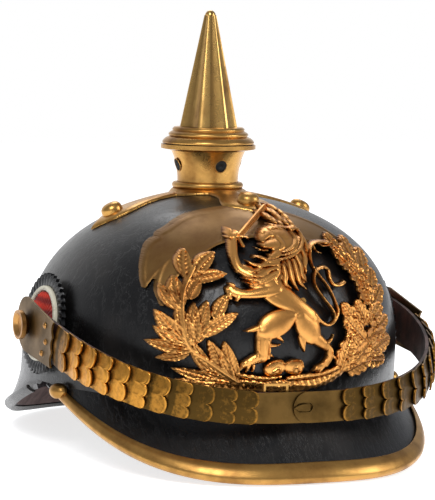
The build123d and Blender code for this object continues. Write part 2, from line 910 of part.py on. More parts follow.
def rear_spine():
    """Brass strip down the middle of the back, from the cross to the rim."""
    start = cross_arm_reach + layer_gap + seat_gap
    length = shell_half_length + cut_overrun
    strip = Pos(0, start, shell_rim_height) * Box(
        2 * spine_half_width, length, shell_rise,
        align=(Align.CENTER, Align.MIN, Align.MIN))
    spine = round_layer(layer_gap, layer_gap + spine_wall) & squeezed(strip)
    for bore in fastener_bores(spine_planes(), stud_shank_radius):
        spine -= bore
    return spread(spine)


def spine_screws():
    """Low-headed screws that hold the spine."""
    low = layer_gap + spine_wall + layer_gap
    screws = []
    for plane in spine_planes():
        head = round_pin(Plane.XY, spine_screw_radius, low, low + spine_screw_height)
        head = chamfer(head.edges().group_by(Axis.Z)[-1], spine_screw_height / 3)
        shank = round_pin(Plane.XY, stud_shank_radius, low - stud_shank_length, low)
        screws.append(plane * (head + shank).solid())
    return Compound(children=screws)


# Cockades and rosette posts

def hinge_plane(side):
    """Plane through the middle of the helmet whose normal is the hinge line."""
    return Plane(origin=(0, hinge_y, hinge_z), x_dir=(0, -1, 0), z_dir=(side, 0, 0))


def cockade_plane(side):
    """Plane on the skull's side behind a cockade."""
    return dome_plane(dome_side(side, hinge_y, hinge_z, 0))


def toothed_disc(radius, depth, teeth):
    """Round face with a saw-toothed edge."""
    corners = []
    for k in range(teeth):
        outer = 2 * pi * k / teeth
        inner = outer + pi / teeth
        corners.append((radius * cos(outer), radius * sin(outer)))
        corners.append(((radius - depth) * cos(inner), (radius - depth) * sin(inner)))
    return make_face(Polyline(*corners, close=True))


def cockade_rim(side):
    """Black pleated outer ring."""
    face = toothed_disc(cockade_rim_radius, cockade_tooth_depth, cockade_teeth)
    face -= Circle(cockade_ring_radius + seat_gap)
    return cockade_plane(side) * Pos(0, 0, cockade_back) * extrude(face, cockade_rim_wall)


def cockade_ring(side):
    """White metal ring."""
    face = Circle(cockade_ring_radius) - Circle(cockade_centre_radius + seat_gap)
    ring = extrude(face, cockade_ring_wall)
    ring = fillet(ring.edges().group_by(Axis.Z)[-1], cockade_ring_wall / 4)
    return cockade_plane(side) * Pos(0, 0, cockade_back) * ring


def cockade_centre(side):
    """Red ribbed disc round the rosette post."""
    face = Circle(cockade_centre_radius) - Circle(cockade_bore_radius)
    return cockade_plane(side) * Pos(0, 0, cockade_back) * extrude(face, cockade_centre_wall)


def plate_inner_reach():
    """Distance from the middle plane to the inner face of an end plate."""
    return strap_half_width + layer_gap + end_plate_step


def rosette_post(side):
    """Screw with a dished head, the pivot of the chin scales."""
    head_in = plate_inner_reach() + end_plate_wall + pivot_side_gap
    head_out = head_in + rosette_height
    lip = rosette_radius - rosette_rim
    profile = make_face(Polyline(
        (0, post_inner_reach), (post_shank_radius, post_inner_reach),
        (post_shank_radius, head_in), (post_collar_radius, head_in),
        (rosette_radius, head_in + rosette_height / 2), (rosette_radius, head_out),
        (lip, head_out), (lip * dish_floor_share, head_out - rosette_dish_depth * dish_wall_share),
        (0, head_out - rosette_dish_depth), close=True))
    post = revolve(Plane.XZ * profile, axis=Axis.Z)
    return (hinge_plane(side) * post).solid()


def rosette_nuts():
    """Nuts inside the skull on the two rosette posts."""
    nuts = []
    for side in (-1, 1):
        nuts.append(hex_nut(
            hinge_plane(side), post_inner_reach, post_inner_reach + rosette_nut_height,
            rosette_nut_radius, post_shank_radius + seat_gap))
    return Compound(children=nuts)


# Chin scales

@cache
def strap_table(side):
    """Points along the strap from the hinge to the front, with their run in millimetres."""
    rows = []
    run = 0.0
    for k in range(strap_spans + 1):
        turn = pi / 2 * k / strap_spans
        across = cos(turn)
        ahead = sin(turn)
        size = (across ** strap_power + ahead ** strap_power) ** (-1 / strap_power)
        forward = ahead * size
        point = Vector(
            side * strap_half_width * across * size,
            hinge_y - (strap_front_reach + hinge_y) * forward,
            strap_front_height
            + (hinge_z - strap_front_height) * (1 - forward ** (strap_power / 2)))
        if rows:
            run += (point - rows[-1][1]).length
        rows.append((run, point))
    return rows


def strap_length(side):
    """Run of the strap from the hinge to the middle of the front."""
    return strap_table(side)[-1][0]


def strap_point(side, run):
    """Point of the strap's outer leather face at a run from the hinge."""
    rows = strap_table(side)
    total = strap_length(side)
    if run > total:
        return strap_point(-side, 2 * total - run)
    if run < 0:
        return rows[0][1] + (rows[1][1] - rows[0][1]).normalized() * run
    for (low, first), (high, second) in zip(rows, rows[1:]):
        if run <= high:
            return first + (second - first) * ((run - low) / (high - low))
    return rows[-1][1]


def strap_plane(side, start, end):
    """Plane on the strap between two runs: X along it, Z outward, origin at the start."""
    first = strap_point(side, start)
    second = strap_point(side, end)
    along = (second - first).normalized()
    width = (Vector(0, 0, 1) - along * along.Z).normalized()
    outward = along.cross(width) * -side
    return Plane(origin=first, x_dir=along, z_dir=outward)


def strap_width_at(side, run, side_width, front_width):
    """Width that tapers evenly from the hinge to the front."""
    return side_width + (front_width - side_width) * min(run / strap_length(side), 1)


def scale_edge(side, index):
    """Run at which a scale's lobes end."""
    pitch = right_scale_pitch if side < 0 else left_scale_pitch
    return first_scale_edge + pitch * index


def scale_outline(length, width, lobes):
    """Scale with a straight tail and a front edge of round lobes."""
    half = width / 2
    lobe = width / lobes
    depth = lobe * lobe_depth_share
    edges = [
        Line((0, half), (0, -half)),
        Line((0, -half), (length - depth, -half)),
        Line((length - depth, half), (0, half))]
    for k in range(lobes):
        low = -half + lobe * k
        edges.append(ThreePointArc(
            (length - depth, low), (length, low + lobe / 2), (length - depth, low + lobe)))
    return make_face(edges)


def arch_skin(length, wall):
    """Skin of a tube along X that gives a plate its round cross-section."""
    spare = length + cut_overrun
    tube = Cylinder(scale_arch_radius + wall, spare) - Cylinder(scale_arch_radius, spare)
    return Pos(0, 0, -scale_arch_radius) * Rot(0, 90, 0) * tube


def arch_drop(width):
    """Depth of the tube's edge below its crown, at half a width."""
    return scale_arch_radius - sqrt(scale_arch_radius ** 2 - width ** 2 / 4)


def arched_plate(face, length, wall):
    """Flat outline pressed to a round cross-section."""
    block = Pos(0, 0, -scale_arch_radius / 2) * extrude(face, scale_arch_radius)
    return (block & arch_skin(length, wall)).solid()


def chin_scale(side, index):
    """One scale: its tail lies low and its lobes over the next scale."""
    end = scale_edge(side, index)
    pitch = scale_edge(side, 1) - scale_edge(side, 0)
    length = pitch + scale_overlap
    start = end - length
    width = strap_width_at(side, end, scale_side_width, scale_front_width)
    lobes = 2 if index % 2 == 0 else 3
    plate = arched_plate(scale_outline(length, width, lobes), length, scale_wall)
    tilt = degrees(scale_step / pitch)
    lift = layer_gap + arch_drop(width)
    return strap_plane(side, start, end) * Pos(0, 0, lift) * Rot(0, -tilt, 0) * plate


def scale_group(side, group):
    """Neighbouring scales that share a node."""
    first = group * scales_per_group
    last = min(first + scales_per_group, scale_count)
    return Compound(children=[chin_scale(side, index) for index in range(first, last)])


def strap_band(side, start, end, low, high, width, last_width):
    """Band along the strap; low and high are functions of the run that give its faces."""
    sections = []
    for k in range(strap_sections + 1):
        run = start + (end - start) * k / strap_sections
        plane = strap_plane(side, run - strap_wall, run + strap_wall)
        middle = (low(run) + high(run)) / 2
        across = width + (last_width - width) * k / strap_sections
        section = Rectangle(high(run) - low(run), across)
        origin = plane.to_local_coords(strap_point(side, run))
        sections.append(plane * Pos(origin.X, 0, origin.Z + middle) * Rot(0, 90, 0) * section)
    return loft(sections)


def strap_leather(side):
    """Leather strip behind the scales, with the bore for the rosette post."""
    end = strap_length(side) - clasp_tail
    strap = strap_band(
        side, -strap_side_width / 2, end, lambda run: -strap_wall, lambda run: 0,
        strap_side_width, strap_front_width)
    bore = round_pin(
        hinge_plane(side), post_shank_radius + running_gap, plate_inner_reach() - cut_overrun / 4,
        plate_inner_reach() + cut_overrun / 4)
    return (strap - bore).solid()


# The plates at the ends of each strap

def end_plate_outline():
    """Round at the pivot, tapering to a wavy front edge; X runs forward."""
    half = end_plate_front_width / 2
    back = Circle(end_plate_round)
    body = make_hull(
        back.edges() + [Line((end_plate_reach, -half), (end_plate_reach, half))])
    lobe = end_plate_front_width / end_plate_waves
    edge = None
    for k in range(end_plate_waves):
        bite = Pos(end_plate_reach + end_plate_wave, lobe * k + lobe / 2 - half) * Ellipse(
            2 * end_plate_wave, lobe / 2)
        edge = bite if edge is None else edge + bite
    return body - edge


def end_plate(side):
    """Brass plate that turns on the rosette post."""
    face = end_plate_outline() - Circle(post_shank_radius + running_gap)
    plane = end_plane(side)
    return (plane * extrude(face, end_plate_wall)).solid()


def end_plane(side):
    """Plane of an end plate's inner face: X along the strap, origin on the hinge line."""
    ahead = strap_point(side, end_plate_reach) - strap_point(side, 0)
    along = Vector(0, ahead.Y, ahead.Z).normalized()
    return Plane(
        origin=(side * plate_inner_reach(), hinge_y, hinge_z), x_dir=along, z_dir=(side, 0, 0))


def plate_rivets(side):
    """Three domed rivets near the wavy edge."""
    plane = end_plane(side)
    rivets = []
    for x_share, y_share in rivet_shares:
        x = x_share * end_plate_reach
        y = y_share * end_plate_front_width / 2
        low = end_plate_wall + seat_gap
        ball = Sphere(rivet_radius) & Pos(0, 0, rivet_radius - rivet_height / 2) * Box(
            4 * rivet_radius, 4 * rivet_radius, rivet_height)
        flat = ball.bounding_box().min.Z
        rivets.append(plane * Pos(x, y, low - flat) * ball.solid())
    return Compound(children=rivets)


def clasp_lift(side, run):
    """Height of a clasp plate's inner face: the left one climbs over the right one."""
    start = scale_edge(side, scale_count - 1) - scale_overlap
    if side < 0:
        return layer_gap
    climb = min((run - start) / (strap_length(side) - right_clasp_reach - start), 1)
    return layer_gap + clasp_step * climb


def clasp_outline(side):
    """Front view of a clasp plate: straight sides and a round end."""
    reach = right_clasp_reach if side < 0 else left_clasp_reach
    half = scale_front_width / 2
    end = -side * (reach - half)
    far = side * (shell_half_width / 2)
    return Pos((end + far) / 2, strap_front_height) * Rectangle(
        abs(far - end), scale_front_width) + Pos(end, strap_front_height) * Circle(half)


def clasp_plate(side):
    """Plain plate at the end of a strap; the left one has the keyhole."""
    reach = right_clasp_reach if side < 0 else left_clasp_reach
    start = scale_edge(side, scale_count - 1) - scale_overlap
    end = strap_length(side) + reach
    band = strap_band(
        side, start, end, lambda run: clasp_lift(side, run),
        lambda run: clasp_lift(side, run) + clasp_wall, scale_front_width, scale_front_width)
    face = clasp_outline(side)
    if side > 0:
        slot = Pos(keyhole_radius - hook_offset - keyhole_length / 2, strap_front_height)
        face -= slot * SlotOverall(keyhole_length, 2 * keyhole_radius)
    block = extrude(Plane.XZ * face, strap_front_reach + cut_overrun)
    return (band & block).solid()


def clasp_hook():
    """Hook on the right plate: a neck through the keyhole and a pointed tongue over it."""
    foot = strap_front_reach + layer_gap + clasp_wall + seat_gap
    tongue_low = strap_front_reach + layer_gap + clasp_step + clasp_wall + layer_gap
    neck_length = tongue_low - foot + hook_wall
    base = Plane(origin=(-hook_offset, 0, strap_front_height), x_dir=(-1, 0, 0), z_dir=(0, -1, 0))
    neck = base * Pos(0, 0, foot) * Box(
        hook_wall, hook_width - hook_wall, neck_length,
        align=(Align.CENTER, Align.CENTER, Align.MIN))
    half = hook_width / 2
    blade = make_face([
        Line((-hook_wall / 2, half - hook_wall / 2), (-hook_wall / 2, hook_wall / 2 - half)),
        ThreePointArc((-hook_wall / 2, hook_wall / 2 - half), (hook_length / 3, -half),
                      (hook_length, 0)),
        ThreePointArc((hook_length, 0), (hook_length / 3, half),
                      (-hook_wall / 2, half - hook_wall / 2))])
    tongue = base * Pos(0, 0, tongue_low) * extrude(blade, hook_wall)
    return (neck + tongue).solid()


def strap_buckle(side):
    """Square wire buckle behind the strap's end."""
    plane = strap_plane(side, buckle_run - buckle_length / 2, buckle_run + buckle_length / 2)
    frame = Rectangle(buckle_length, buckle_width) - Rectangle(
        buckle_length - 2 * buckle_wire, buckle_width - 2 * buckle_wire)
    upward = -side * buckle_rise
    low = -strap_wall - 2 * layer_gap - buckle_wire
    return plane * Pos(buckle_length / 2, upward, low) * extrude(frame, buckle_wire)


# Linings

def sweatband():
    """Leather band inside the rim that leans in toward the head."""
    outer = shell_half_width - shell_wall - layer_gap
    top = outer - sweatband_lean
    profile = make_face(Polyline(
        (outer, sweatband_low), (top, sweatband_low + sweatband_height),
        (top - sweatband_wall, sweatband_low + sweatband_height),
        (outer - sweatband_wall, sweatband_low), close=True))
    return spread(revolve(Plane.XZ * profile, axis=Axis.Z))


def silk_lining():
    """Silk cap above the sweatband, open at its drawn throat."""
    cap = round_layer(-silk_depth - silk_wall, -silk_depth)
    low = sweatband_low + sweatband_height + silk_seam_gap
    cap -= Cylinder(
        shell_half_width, low, align=(Align.CENTER, Align.CENTER, Align.MIN))
    cap -= Pos(0, 0, shell_rise / 2) * Cylinder(
        silk_throat_radius, shell_rise, align=(Align.CENTER, Align.CENTER, Align.MIN))
    return spread(cap)


node_makers = {
    "skull_shell": skull_shell,
    "front_visor": lambda: visor(-1),
    "rear_visor": lambda: visor(1),
    "front_visor_lining": lambda: visor_lining(-1),
    "rear_visor_lining": lambda: visor_lining(1),
    "front_visor_trim": lambda: edge_cover(-1),
    "rear_visor_binding": lambda: edge_cover(1),
    "trim_end_bosses": trim_end_bosses,
    "cruciform_base": cruciform_base,
    "cross_studs": cross_studs,
    "cross_stud_nuts": lambda: inner_nuts(stud_planes(), stud_shank_radius + seat_gap),
    "spike_neck": spike_neck,
    "neck_base_ring": neck_base_ring,
    "spike_socket": spike_socket,
    "spike_tang": spike_tang,
    "spike_flange": spike_flange,
    "spike_cone": spike_cone,
    "front_emblem": front_emblem,
    "banner_scroll": banner_scroll,
    "emblem_posts": emblem_posts,
    "emblem_nuts": lambda: inner_nuts(emblem_planes(), post_radius + seat_gap),
    "rear_spine": rear_spine,
    "spine_screws": spine_screws,
    "spine_nuts": lambda: inner_nuts(spine_planes(), stud_shank_radius + seat_gap),
    "rosette_nuts": rosette_nuts,
    "sweatband": sweatband,
    "silk_lining": silk_lining,
    "clasp_hook": clasp_hook,
}

for word, side in (("right", -1), ("left", 1)):
    node_makers[word + "_cockade_rim"] = lambda side=side: cockade_rim(side)
    node_makers[word + "_cockade_ring"] = lambda side=side: cockade_ring(side)
    node_makers[word + "_cockade_centre"] = lambda side=side: cockade_centre(side)
    node_makers[word + "_rosette_post"] = lambda side=side: rosette_post(side)
    node_makers[word + "_end_plate"] = lambda side=side: end_plate(side)
    node_makers[word + "_plate_rivets"] = lambda side=side: plate_rivets(side)
    node_makers[word + "_strap_leather"] = lambda side=side: strap_leather(side)
    node_makers[word + "_clasp_plate"] = lambda side=side: clasp_plate(side)
    for group in range((scale_count + scales_per_group - 1) // scales_per_group):
        name = "%s_scales_%d" % (word, group + 1)
        node_makers[name] = lambda side=side, group=group: scale_group(side, group)

node_makers["strap_buckle"] = lambda: strap_buckle(-1)

os.makedirs("parts", exist_ok=True)
for node, make in node_makers.items():
    export_step(make(), "parts/" + node + ".step")
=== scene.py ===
"""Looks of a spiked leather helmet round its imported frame: metres, +Z up, worn facing -Y."""
import json
import math

import bpy
import numpy as np
from mathutils import Matrix, Vector


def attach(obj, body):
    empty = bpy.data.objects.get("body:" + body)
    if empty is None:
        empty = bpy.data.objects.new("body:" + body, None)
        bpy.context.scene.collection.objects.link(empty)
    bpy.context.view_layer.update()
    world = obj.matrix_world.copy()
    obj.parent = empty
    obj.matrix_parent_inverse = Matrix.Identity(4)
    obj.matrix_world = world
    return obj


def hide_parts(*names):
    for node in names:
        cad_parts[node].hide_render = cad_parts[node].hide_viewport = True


bl_info = {
    "name": "Spiked helmet",
    "version": (1, 0, 0),
    "blender": (4, 5, 0),
    "location": "View3D > Sidebar > Helmet",
    "description": "Builds the surfaces and finishes of a spiked leather helmet round its CAD frame",
    "category": "Add Mesh",
}

MM = 0.001
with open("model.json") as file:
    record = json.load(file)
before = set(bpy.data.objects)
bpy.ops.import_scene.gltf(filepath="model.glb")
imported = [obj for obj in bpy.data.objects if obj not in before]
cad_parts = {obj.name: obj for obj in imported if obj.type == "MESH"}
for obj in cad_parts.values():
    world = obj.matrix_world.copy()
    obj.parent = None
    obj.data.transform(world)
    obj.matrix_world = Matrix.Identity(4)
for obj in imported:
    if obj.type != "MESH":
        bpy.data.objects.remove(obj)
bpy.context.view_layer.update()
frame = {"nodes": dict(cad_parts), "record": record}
FULL_TURN = 2 * math.pi

# Places and sizes that repeat the frame's source
SIDE_Y, SIDE_Z = -10 * MM, 67 * MM
STRAP_HALF_WIDTH, STRAP_REACH, STRAP_POWER = 103, 121, 2.6
STRAP_FRONT_Z, STRAP_FALL, STRAP_FALL_POWER = 36.5, 30.5, 1.3
SCALE_COUNT, SCALES_START, SCALE_OVERLAP = 11, 52.7, 5.0
SCALE_ARCH_RADIUS = 45 * MM
CROSS_REACH, CROSS_HUB, CROSS_HOLE, CROSS_SEAT = 66 * MM, 23 * MM, 9 * MM, 136.15 * MM
NECK_RADIUS, NECK_FLARE = 17.7 * MM, 0.33
VENT_Z, VENT_RIM_RADIUS, VENT_WIRE_RADIUS = 148.5 * MM, 3.3, 0.25
VENT_COUNT = 4
SPIKE_FOOT_Z, SCREW_RADIUS, FLUTE_TURN = 168.7 * MM, 5.1 * MM, 17
EDGE_GAP = 0.15 * MM
SWEATBAND_RADIUS, SWEATBAND_LEAN = 92.7 * MM, 8 * MM
SWEATBAND_FOOT, SWEATBAND_HEIGHT = 1 * MM, 36 * MM
# Share of the inner skull's rise at the silk's foot, and of its half width at the silk's opening
SILK_FOOT, SILK_OPENING = 37.4 / 86.6, 24.3 / 85.6

# The photograph's camera: angles in degrees, places in metres, lens and film in millimetres
VIEW_TURN, VIEW_RISE, VIEW_ROLL, VIEW_DISTANCE = 23.5, 5.0, 1.0, 1.5
VIEW_HEIGHT, VIEW_RIGHT, VIEW_DOWN = 0.106, 5.88 * MM, 3.21 * MM
VIEW_LENS, VIEW_FILM = 202.07, 36.0


# Colours and sizes

def linear(hex_colour):
    """Linear RGBA of an sRGB hex colour: each channel is freed of its display curve."""
    channels = [int(hex_colour[k:k + 2], 16) / 255 for k in (1, 3, 5)]
    return tuple(c / 12.92 if c <= 0.04045 else ((c + 0.055) / 1.055) ** 2.4 for c in channels) + (1.0,)


def length(name, description, millimetres):
    """A size in the add-on's panel."""
    return bpy.props.FloatProperty(
        name=name, description=description, default=millimetres * MM, unit="LENGTH", precision=5)


def colour(name, description, hex_colour):
    """A colour in the add-on's panel."""
    return bpy.props.FloatVectorProperty(
        name=name, description=description, default=linear(hex_colour), size=4,
        subtype="COLOR", min=0.0, max=1.0)


class HelmetSizes(bpy.types.PropertyGroup):
    """Sizes that the pieces are built from."""
    skull_half_width: length("Skull half width", "Half the skull's width at its rim", 96.0)
    skull_half_length: length("Skull half length", "Half the skull's length at its rim", 117.0)
    skull_rim: length("Rim height", "Height of the skull's rim over the floor", 37.0)
    skull_rise: length("Skull rise", "Height of the skull over its rim", 97.0)
    skull_wall: length("Skull wall", "Thickness of the skull's leather", 3.0)
    skull_lean: length("Lean", "How far the crown sits forward of the rim", 14.0)
    skull_forward: length("Set forward", "How far the rim sits forward of the spike", 1.0)
    skull_fullness: bpy.props.FloatProperty(
        name="Fullness", description="Power of the skull's outline", default=2.9)
    crown_bore: length("Crown bore", "Radius of the airway under the neck", 9.0)
    peak_wall: length("Peak wall", "Thickness of the peaks' leather", 3.0)
    pleat_radius: length("Cockade radius", "Radius of the cockade's pleated edge", 26.5)
    pleat_depth: length("Pleat depth", "Depth of the pleats at the cockade's edge", 2.2)
    ring_radius: length("Ring radius", "Outer radius of the white ring", 19.7)
    centre_radius: length("Centre radius", "Radius of the red centre", 16.8)
    scale_wall: length("Scale wall", "Thickness of a chin scale", 0.7)
    spike_base: length("Spike base", "Radius over the ridges at the spike's base", 15.6)
    spike_tip: length("Spike tip", "Radius over the ridges at the spike's tip", 3.3)
    spike_top: length("Spike top", "Height of the spike's tip", 231.0)


class HelmetColours(bpy.types.PropertyGroup):
    """Colours that the materials are mixed from."""
    leather: colour("Skull leather", "Black lacquered leather", "#0D0C0C")
    leather_worn: colour("Worn leather", "Where the lacquer has worn", "#201D1B")
    # The neck guard's plum tint is a painted sheen on black leather
    guard: colour("Neck guard", "Leather of the neck guard, with its plum sheen", "#1E171C")
    brass: colour("Aged brass", "Polished brass with age", "#C19350")
    spike_brass: colour("Spike brass", "Pale polished brass of the spike", "#CFA661")
    # The brown patina colour is also the painted shade in the spike's flutes
    brass_dark: colour("Brown patina", "Patina in the hollows of the brass", "#6A4523")
    gilt: colour("Gilding", "Fire gilding of the front plate", "#E2A258")
    # The gilding's dark colour is the painted shade in the front plate's hollows and under its edges,
    # and the dark of its patina patches
    gilt_dark: colour("Gilding recess", "Dirt in the front plate's hollows", "#5A2B10")
    ribbon: colour("Ribbon brass", "Plain brass of the ribbon", "#8A683C")
    # The scale colours also paint light: the bright one a highlight on the lobes' edges, the dark one
    # the shadow in the gaps between scales
    scale_bright: colour("Scale brass", "Orange brass of the scales at the side", "#D0923C")
    scale_dark: colour("Scale tarnish", "Olive brown tarnish of the front scales", "#4E3A1A")
    strap: colour("Strap leather", "Brown leather behind the scales", "#4A2519")
    red: colour("Cockade red", "Ribbed cloth of the cockade", "#E23A22")
    white: colour("Cockade white", "Cream enamel of the ring", "#DDD6C0")
    silk: colour("Silk", "Faded silk of the lining", "#8C8474")
    tan: colour("Tan leather", "Sweatband leather", "#7C5636")
    floor: colour("Floor", "Pale studio floor", "#FFFFFF")


def sizes():
    """The sizes set in the panel."""
    return bpy.context.scene.helmet_sizes


def colours():
    """The colours set in the panel."""
    return bpy.context.scene.helmet_colours


# Meshes

def grid_faces(rows, columns, wrap_rows=False, wrap_columns=False, start=0):
    """Quads of a grid: a corner is row times columns plus column; a wrapped side meets its start."""
    r = np.arange(rows if wrap_rows else rows - 1)
    c = np.arange(columns if wrap_columns else columns - 1)
    r, c = np.meshgrid(r, c, indexing="ij")
    r2, c2 = (r + 1) % rows, (c + 1) % columns
    quads = np.stack([r * columns + c, r * columns + c2, r2 * columns + c2, r2 * columns + c], -1)
    return quads.reshape(-1, 4) + start


def signed_volume(points, faces):
    """Volume by the sum of the cone under each face, positive when faces point out."""
    a, b, c, d = (points[faces[:, k]] for k in range(4))
    first = np.einsum("ij,ij->i", a, np.cross(b, c))
    second = np.einsum("ij,ij->i", a, np.cross(c, d))
    return (first + second).sum() / 6


def make_piece(name, shells, body, material, replaces=(), attributes=None, sharp=None):
    """One object from closed shells, each a pair of points and quads, with faces turned outward."""
    points, faces, count = [], [], 0
    for shell_points, shell_faces in shells:
        if signed_volume(shell_points, shell_faces) < 0:
            shell_faces = shell_faces[:, ::-1]
        points.append(shell_points)
        faces.append(shell_faces + count)
        count += len(shell_points)
    points, faces = np.concatenate(points), np.concatenate(faces)
    mesh = bpy.data.meshes.new(name)
    kept = faces != np.roll(faces, 1, axis=1)
    counts = kept.sum(1)
    kept, counts = kept & (counts > 2)[:, None], counts[counts > 2]
    corners = faces[kept]
    mesh.vertices.add(len(points))
    mesh.vertices.foreach_set("co", points.ravel())
    mesh.loops.add(len(corners))
    mesh.loops.foreach_set("vertex_index", corners)
    mesh.polygons.add(len(counts))
    mesh.polygons.foreach_set("loop_start", np.concatenate([[0], np.cumsum(counts)[:-1]]))
    mesh.update(calc_edges=True)
    mesh.validate()
    mesh.shade_smooth()
    for key, values in (attributes or {}).items():
        layer = mesh.attributes.new(key, "FLOAT", "POINT")
        layer.data.foreach_set("value", np.asarray(values, np.float32))
    if sharp is not None:
        mesh.set_sharp_from_angle(angle=math.radians(sharp))
    piece = bpy.data.objects.new(name, mesh)
    bpy.context.scene.collection.objects.link(piece)
    piece.data.materials.append(material)
    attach(piece, body)
    if replaces:
        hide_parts(*replaces)
    return piece


def loop_shell(points, closed_path):
    """Closed shell of a closed profile carried along a path: rows are places on the path."""
    rows, columns = points.shape[:2]
    flat = points.reshape(-1, 3)
    faces = grid_faces(rows, columns, closed_path, True)
    if closed_path:
        return flat, faces
    ends = []
    for row in (0, rows - 1):
        centre = points[row].mean(0)
        ring = np.arange(columns) + row * columns
        index = len(flat)
        flat = np.vstack([flat, centre])
        following = np.roll(ring, -1)
        fan = np.stack([ring, following, np.full(columns, index), np.full(columns, index)], -1)
        ends.append(fan if row else fan[:, [1, 0, 2, 3]])
    return flat, np.concatenate([faces] + ends)


def slab_shell(top, bottom):
    """Closed shell between two grids of the same shape."""
    rows, columns = top.shape[:2]
    count = rows * columns
    upper = grid_faces(rows, columns)
    index = np.arange(count).reshape(rows, columns)
    edge = np.concatenate([index[0, :-1], index[:-1, -1], index[-1, :0:-1], index[:0:-1, 0]])
    following = np.roll(edge, -1)
    sides = np.stack([edge, edge + count, following + count, following], -1)
    faces = np.concatenate([upper, upper[:, ::-1] + count, sides])
    return np.concatenate([top.reshape(-1, 3), bottom.reshape(-1, 3)]), faces


def relief_shell(u, v, outside, lift, back, place):
    """Raised work over a grid: the cells inside the outline, edge points pulled onto it by the outside
    distance over its slope, a back and a skirt."""
    step = abs(u[1, 0] - u[0, 0])
    du, dv = np.gradient(outside, step)
    size = np.maximum(np.hypot(du, dv), 0.3)
    pull = np.clip(outside, 0, step * 1.5) / size
    u2, v2 = u - du / size * pull, v - dv / size * pull
    rows, columns = u.shape
    faces = grid_faces(rows, columns)
    flat = outside.ravel()
    inside = (flat[faces] < step * 0.8).all(1) & (flat[faces] < 0).any(1)
    faces = faces[inside]
    used, faces = np.unique(faces, return_inverse=True)
    faces = faces.reshape(-1, 4)
    top = place(u2.ravel()[used], v2.ravel()[used], lift.ravel()[used])
    low = place(u2.ravel()[used], v2.ravel()[used], back.ravel()[used])
    count = len(used)
    edges = np.concatenate([faces[:, [k, (k + 1) % 4]] for k in range(4)])
    key = edges.min(1) * count + edges.max(1)
    _, first, number = np.unique(key, return_index=True, return_counts=True)
    rim = edges[first[number == 1]]
    skirt = np.stack([rim[:, 0], rim[:, 0] + count, rim[:, 1] + count, rim[:, 1]], -1)
    return (np.concatenate([top, low]), np.concatenate([faces, faces[:, ::-1] + count, skirt])), used


def smooth_line(stations, count=10):
    """Smooth run through stations: each span is the cubic that leaves its ends along the chord of
    their neighbours."""
    p = np.asarray(stations, float)
    ends = np.vstack([2 * p[0] - p[1], p, 2 * p[-1] - p[-2]])
    t = np.linspace(0, 1, count, endpoint=False)[:, None]
    spans = []
    for k in range(len(p) - 1):
        a, b, c, d = ends[k:k + 4]
        spans.append(0.5 * (2 * b + (c - a) * t + (2 * a - 5 * b + 4 * c - d) * t ** 2
                            + (3 * b - a - 3 * c + d) * t ** 3))
    return np.vstack(spans + [p[-1:]])


def joined(x, y, z):
    """Points of three coordinates spread to one shape."""
    return np.stack(np.broadcast_arrays(x, y, z), -1)


# The skull's own shape, the same formula as the frame's source

def dome_point(turn, rise, lift):
    """Point of the lifted skull: a superellipse profile turned round, stretched to an oval and leaned
    forward with its height."""
    s = sizes()
    radius = (s.skull_half_width + lift) * np.cos(rise)
    height = (s.skull_rise + lift) * np.maximum(np.sin(rise), 0) ** (2 / s.skull_fullness)
    stretch = s.skull_half_length / s.skull_half_width
    x = radius * np.cos(turn)
    y = radius * np.sin(turn) * stretch - s.skull_lean * height / s.skull_rise - s.skull_forward
    return joined(x, y, height + s.skull_rim)


def front_point(x, z, lift):
    """Point of the lifted skull's front over a place in the X-Z plane, solved from the skull's
    equation."""
    s = sizes()
    height = z - s.skull_rim
    share = (np.maximum(height, 0) / (s.skull_rise + lift)) ** s.skull_fullness
    side = (x / (s.skull_half_width + lift)) ** 2
    stretch = s.skull_half_length / s.skull_half_width
    reach = (s.skull_half_width + lift) * stretch * np.sqrt(np.maximum(1 - share - side, 1e-4))
    y = -s.skull_forward - s.skull_lean * height / s.skull_rise - reach
    return joined(x, y, z)


def crown_point(x, y, lift):
    """Point of the lifted skull over a plan point, by repeated solving for its height."""
    s = sizes()
    stretch = s.skull_half_length / s.skull_half_width
    height = np.full(np.shape(x), s.skull_rise)
    for _ in range(24):
        front = (y + s.skull_forward + s.skull_lean * height / s.skull_rise)
        front = front / ((s.skull_half_width + lift) * stretch)
        side = x / (s.skull_half_width + lift)
        height = (s.skull_rise + lift) * np.maximum(1 - side ** 2 - front ** 2, 1e-4) ** (
            1 / s.skull_fullness)
    return joined(x, y, height + s.skull_rim)


def side_plane(side):
    """Origin and axes of the plane behind a cockade: two along it and its outward normal, which is
    the gradient of the skull's equation."""
    s = sizes()
    y, z = SIDE_Y, SIDE_Z
    share = (z - s.skull_rim) / s.skull_rise
    off = y + s.skull_forward + s.skull_lean * share
    x = side * s.skull_half_width * math.sqrt(
        1 - share ** s.skull_fullness - (off / s.skull_half_length) ** 2)
    pull = 2 * off / s.skull_half_length ** 2
    normal = Vector((2 * x / s.skull_half_width ** 2, pull,
                     s.skull_fullness * share ** (s.skull_fullness - 1) / s.skull_rise
                     + pull * s.skull_lean / s.skull_rise)).normalized()
    ahead = Vector((0, -1, 0))
    ahead = (ahead - normal * ahead.dot(normal)).normalized()
    return np.array((x, y, z)), np.array(ahead), np.array(normal.cross(ahead)), np.array(normal)


# Materials

def feed(tree, node, inputs):
    """Set a node's inputs to values, or link them to the outputs given."""
    for key, value in inputs.items():
        if isinstance(value, bpy.types.NodeSocket):
            tree.links.new(value, node.inputs[key])
        else:
            node.inputs[key].default_value = value


def add(tree, kind, inputs=None, **settings):
    """Add a shader node: settings are its own, and inputs are values or outputs that feed it."""
    node = tree.nodes.new("ShaderNode" + kind)
    for key, value in settings.items():
        setattr(node, key, value)
    feed(tree, node, inputs or {})
    return node


def maths(tree, operation, first, second, **settings):
    """Output of a sum, product or other operation on two values."""
    return add(tree, "Math", {0: first, 1: second}, operation=operation, **settings).outputs[0]


def per(millimetres):
    """Scale of a texture whose pattern repeats at a size in millimetres on Object coordinates."""
    return 1 / (millimetres * MM)


